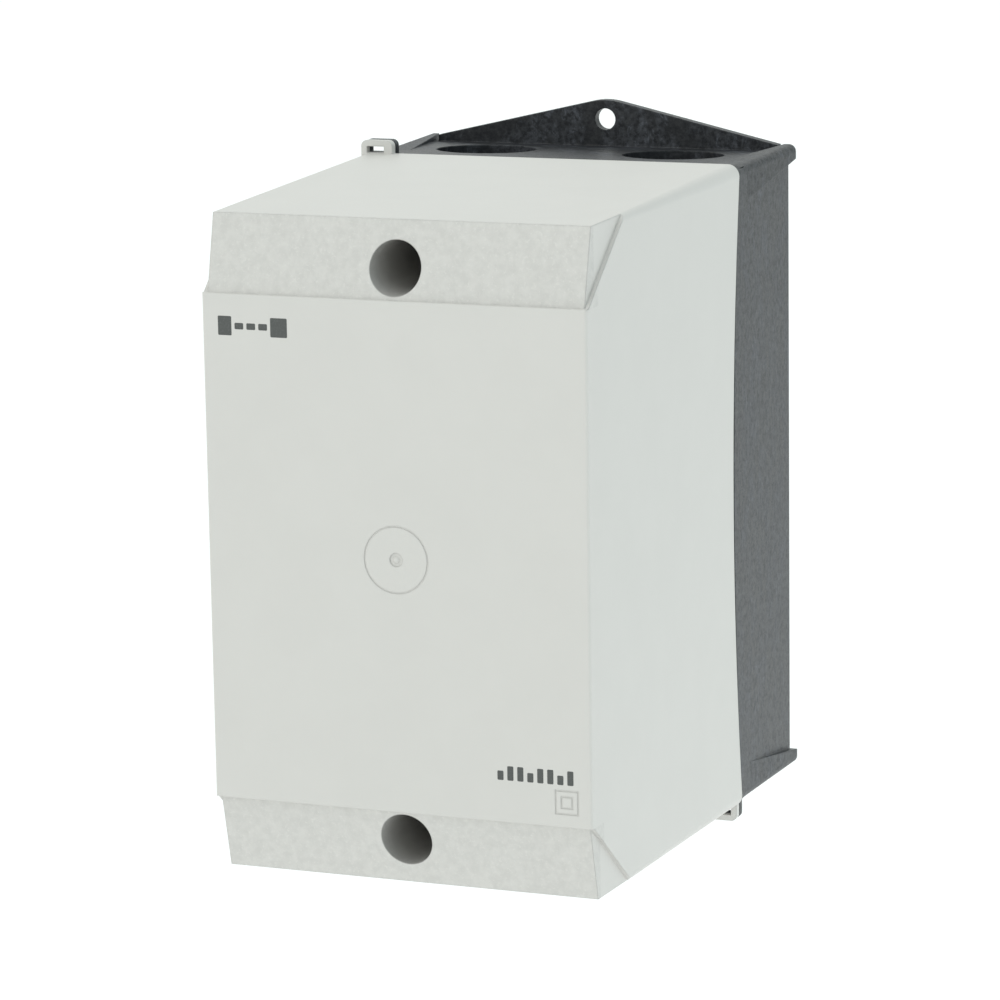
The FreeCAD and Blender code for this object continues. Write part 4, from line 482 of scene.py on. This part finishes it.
def front_marks(ink):
    """Two generic marks: a block of bars at the upper left and a row of short bars at the lower right."""
    left, base = UPPER_MARK_AT
    bars = []
    for start, width, (low, high) in UPPER_MARK_BARS:
        x = left + start * MM
        bars.append(((x, x + width * MM), (base + low, base + high)))
    printed_piece("front_mark_upper", bars, ink)
    left, base = LOWER_MARK_AT
    bars = []
    for index in range(LOWER_MARK_BARS):
        x = left + index * LOWER_MARK_PITCH
        height = LOWER_MARK_TALL if index % 3 else LOWER_MARK_SHORT
        bars.append(((x, x + LOWER_MARK_WIDTH), (base, base + height)))
    printed_piece("front_mark_lower", bars, ink)


# ---- camera, light and floor ----
def make_camera():
    """A long lens that looks down on the starter from its front right."""
    forward = Vector((
        math.sin(CAMERA_YAW) * math.cos(CAMERA_PITCH),
        math.cos(CAMERA_YAW) * math.cos(CAMERA_PITCH),
        -math.sin(CAMERA_PITCH),
    ))
    level = Vector((math.cos(CAMERA_YAW), -math.sin(CAMERA_YAW), 0.0))
    upright = level.cross(forward)
    right = level * math.cos(CAMERA_ROLL) + upright * math.sin(CAMERA_ROLL)
    up = upright * math.cos(CAMERA_ROLL) - level * math.sin(CAMERA_ROLL)
    turn = Matrix((right, up, -forward)).transposed().to_4x4()
    data = bpy.data.cameras.new("camera")
    data.lens = CAMERA_LENS
    data.sensor_width = CAMERA_SENSOR
    data.clip_end = CAMERA_REACH
    camera = bpy.data.objects.new("camera", data)
    camera.matrix_world = Matrix.Translation(CAMERA_AT) @ turn
    bpy.context.scene.collection.objects.link(camera)
    bpy.context.scene.camera = camera


def soft_light(name, place, target, size, power):
    """A rectangular lamp at place that faces target."""
    data = bpy.data.lights.new(name, "AREA")
    data.shape = "RECTANGLE"
    data.size, data.size_y = size
    data.energy = power
    lamp = bpy.data.objects.new(name, data)
    aim = Vector(target) - Vector(place)
    lamp.matrix_world = Matrix.Translation(place) @ aim.to_track_quat("-Z", "Y").to_matrix().to_4x4()
    bpy.context.scene.collection.objects.link(lamp)


def make_world():
    """An even pale surround, duller and cooler to the right."""
    world = bpy.data.worlds.new("studio")
    world.use_nodes = True
    nodes, links = world.node_tree.nodes, world.node_tree.links
    direction = nodes.new("ShaderNodeSeparateXYZ")
    links.new(nodes.new("ShaderNodeTexCoord").outputs["Generated"], direction.inputs[0])
    ramp = nodes.new("ShaderNodeValToRGB")
    ramp.color_ramp.elements[0].color = WORLD_LEFT
    ramp.color_ramp.elements[1].color = WORLD_RIGHT
    links.new(direction.outputs["X"], ramp.inputs["Fac"])
    links.new(ramp.outputs["Color"], nodes["Background"].inputs["Color"])
    bpy.context.scene.world = world


def make_floor():
    """A wide sheet of pale paper, well below the wall-hung starter."""
    mesh = bpy.data.meshes.new("floor")
    half = FLOOR_HALF
    level = cad_bounds[0][2] - FLOOR_DROP
    corners = [(-half, -half, level), (half, -half, level), (half, half, level), (-half, half, level)]
    mesh.from_pydata(corners, [], [(0, 1, 2, 3)])
    floor = bpy.data.objects.new("floor", mesh)
    bpy.context.scene.collection.objects.link(floor)
    paper = Tree("floor_paper")
    grain = paper.noise(3 * MM, 3.0, 0.6)
    tone = paper.blend(grain, (0.95, 0.95, 0.95), (0.97, 0.97, 0.97))
    paper.shader.inputs["Emission Color"].default_value = (1.0, 1.0, 1.0, 1.0)
    paper.shader.inputs["Emission Strength"].default_value = FLOOR_GLOW
    mesh.materials.append(paper.finish(tone, 0.9, specular=0.2))


def make_studio():
    """The surround, two soft lamps and the floor."""
    bpy.context.scene.view_settings.view_transform = "Standard"
    make_world()
    soft_light("top_softbox", (-0.25, -0.55, 0.95), (0, -0.07, 0), (0.8, 0.8), 1.1)
    soft_light("low_right_softbox", (0.45, 0.05, -0.24), (0.05, -0.07, -0.08), (0.25, 0.25), 0.4)
    make_floor()


def main():
    """Dress the CAD frame, add what the CAD lacks, and set the scene."""
    dress_cad_nodes(all_materials())
    shortening_springs()
    front_marks(printed_ink("print_ink", PRINT_GREY))
    make_camera()
    make_studio()


main()
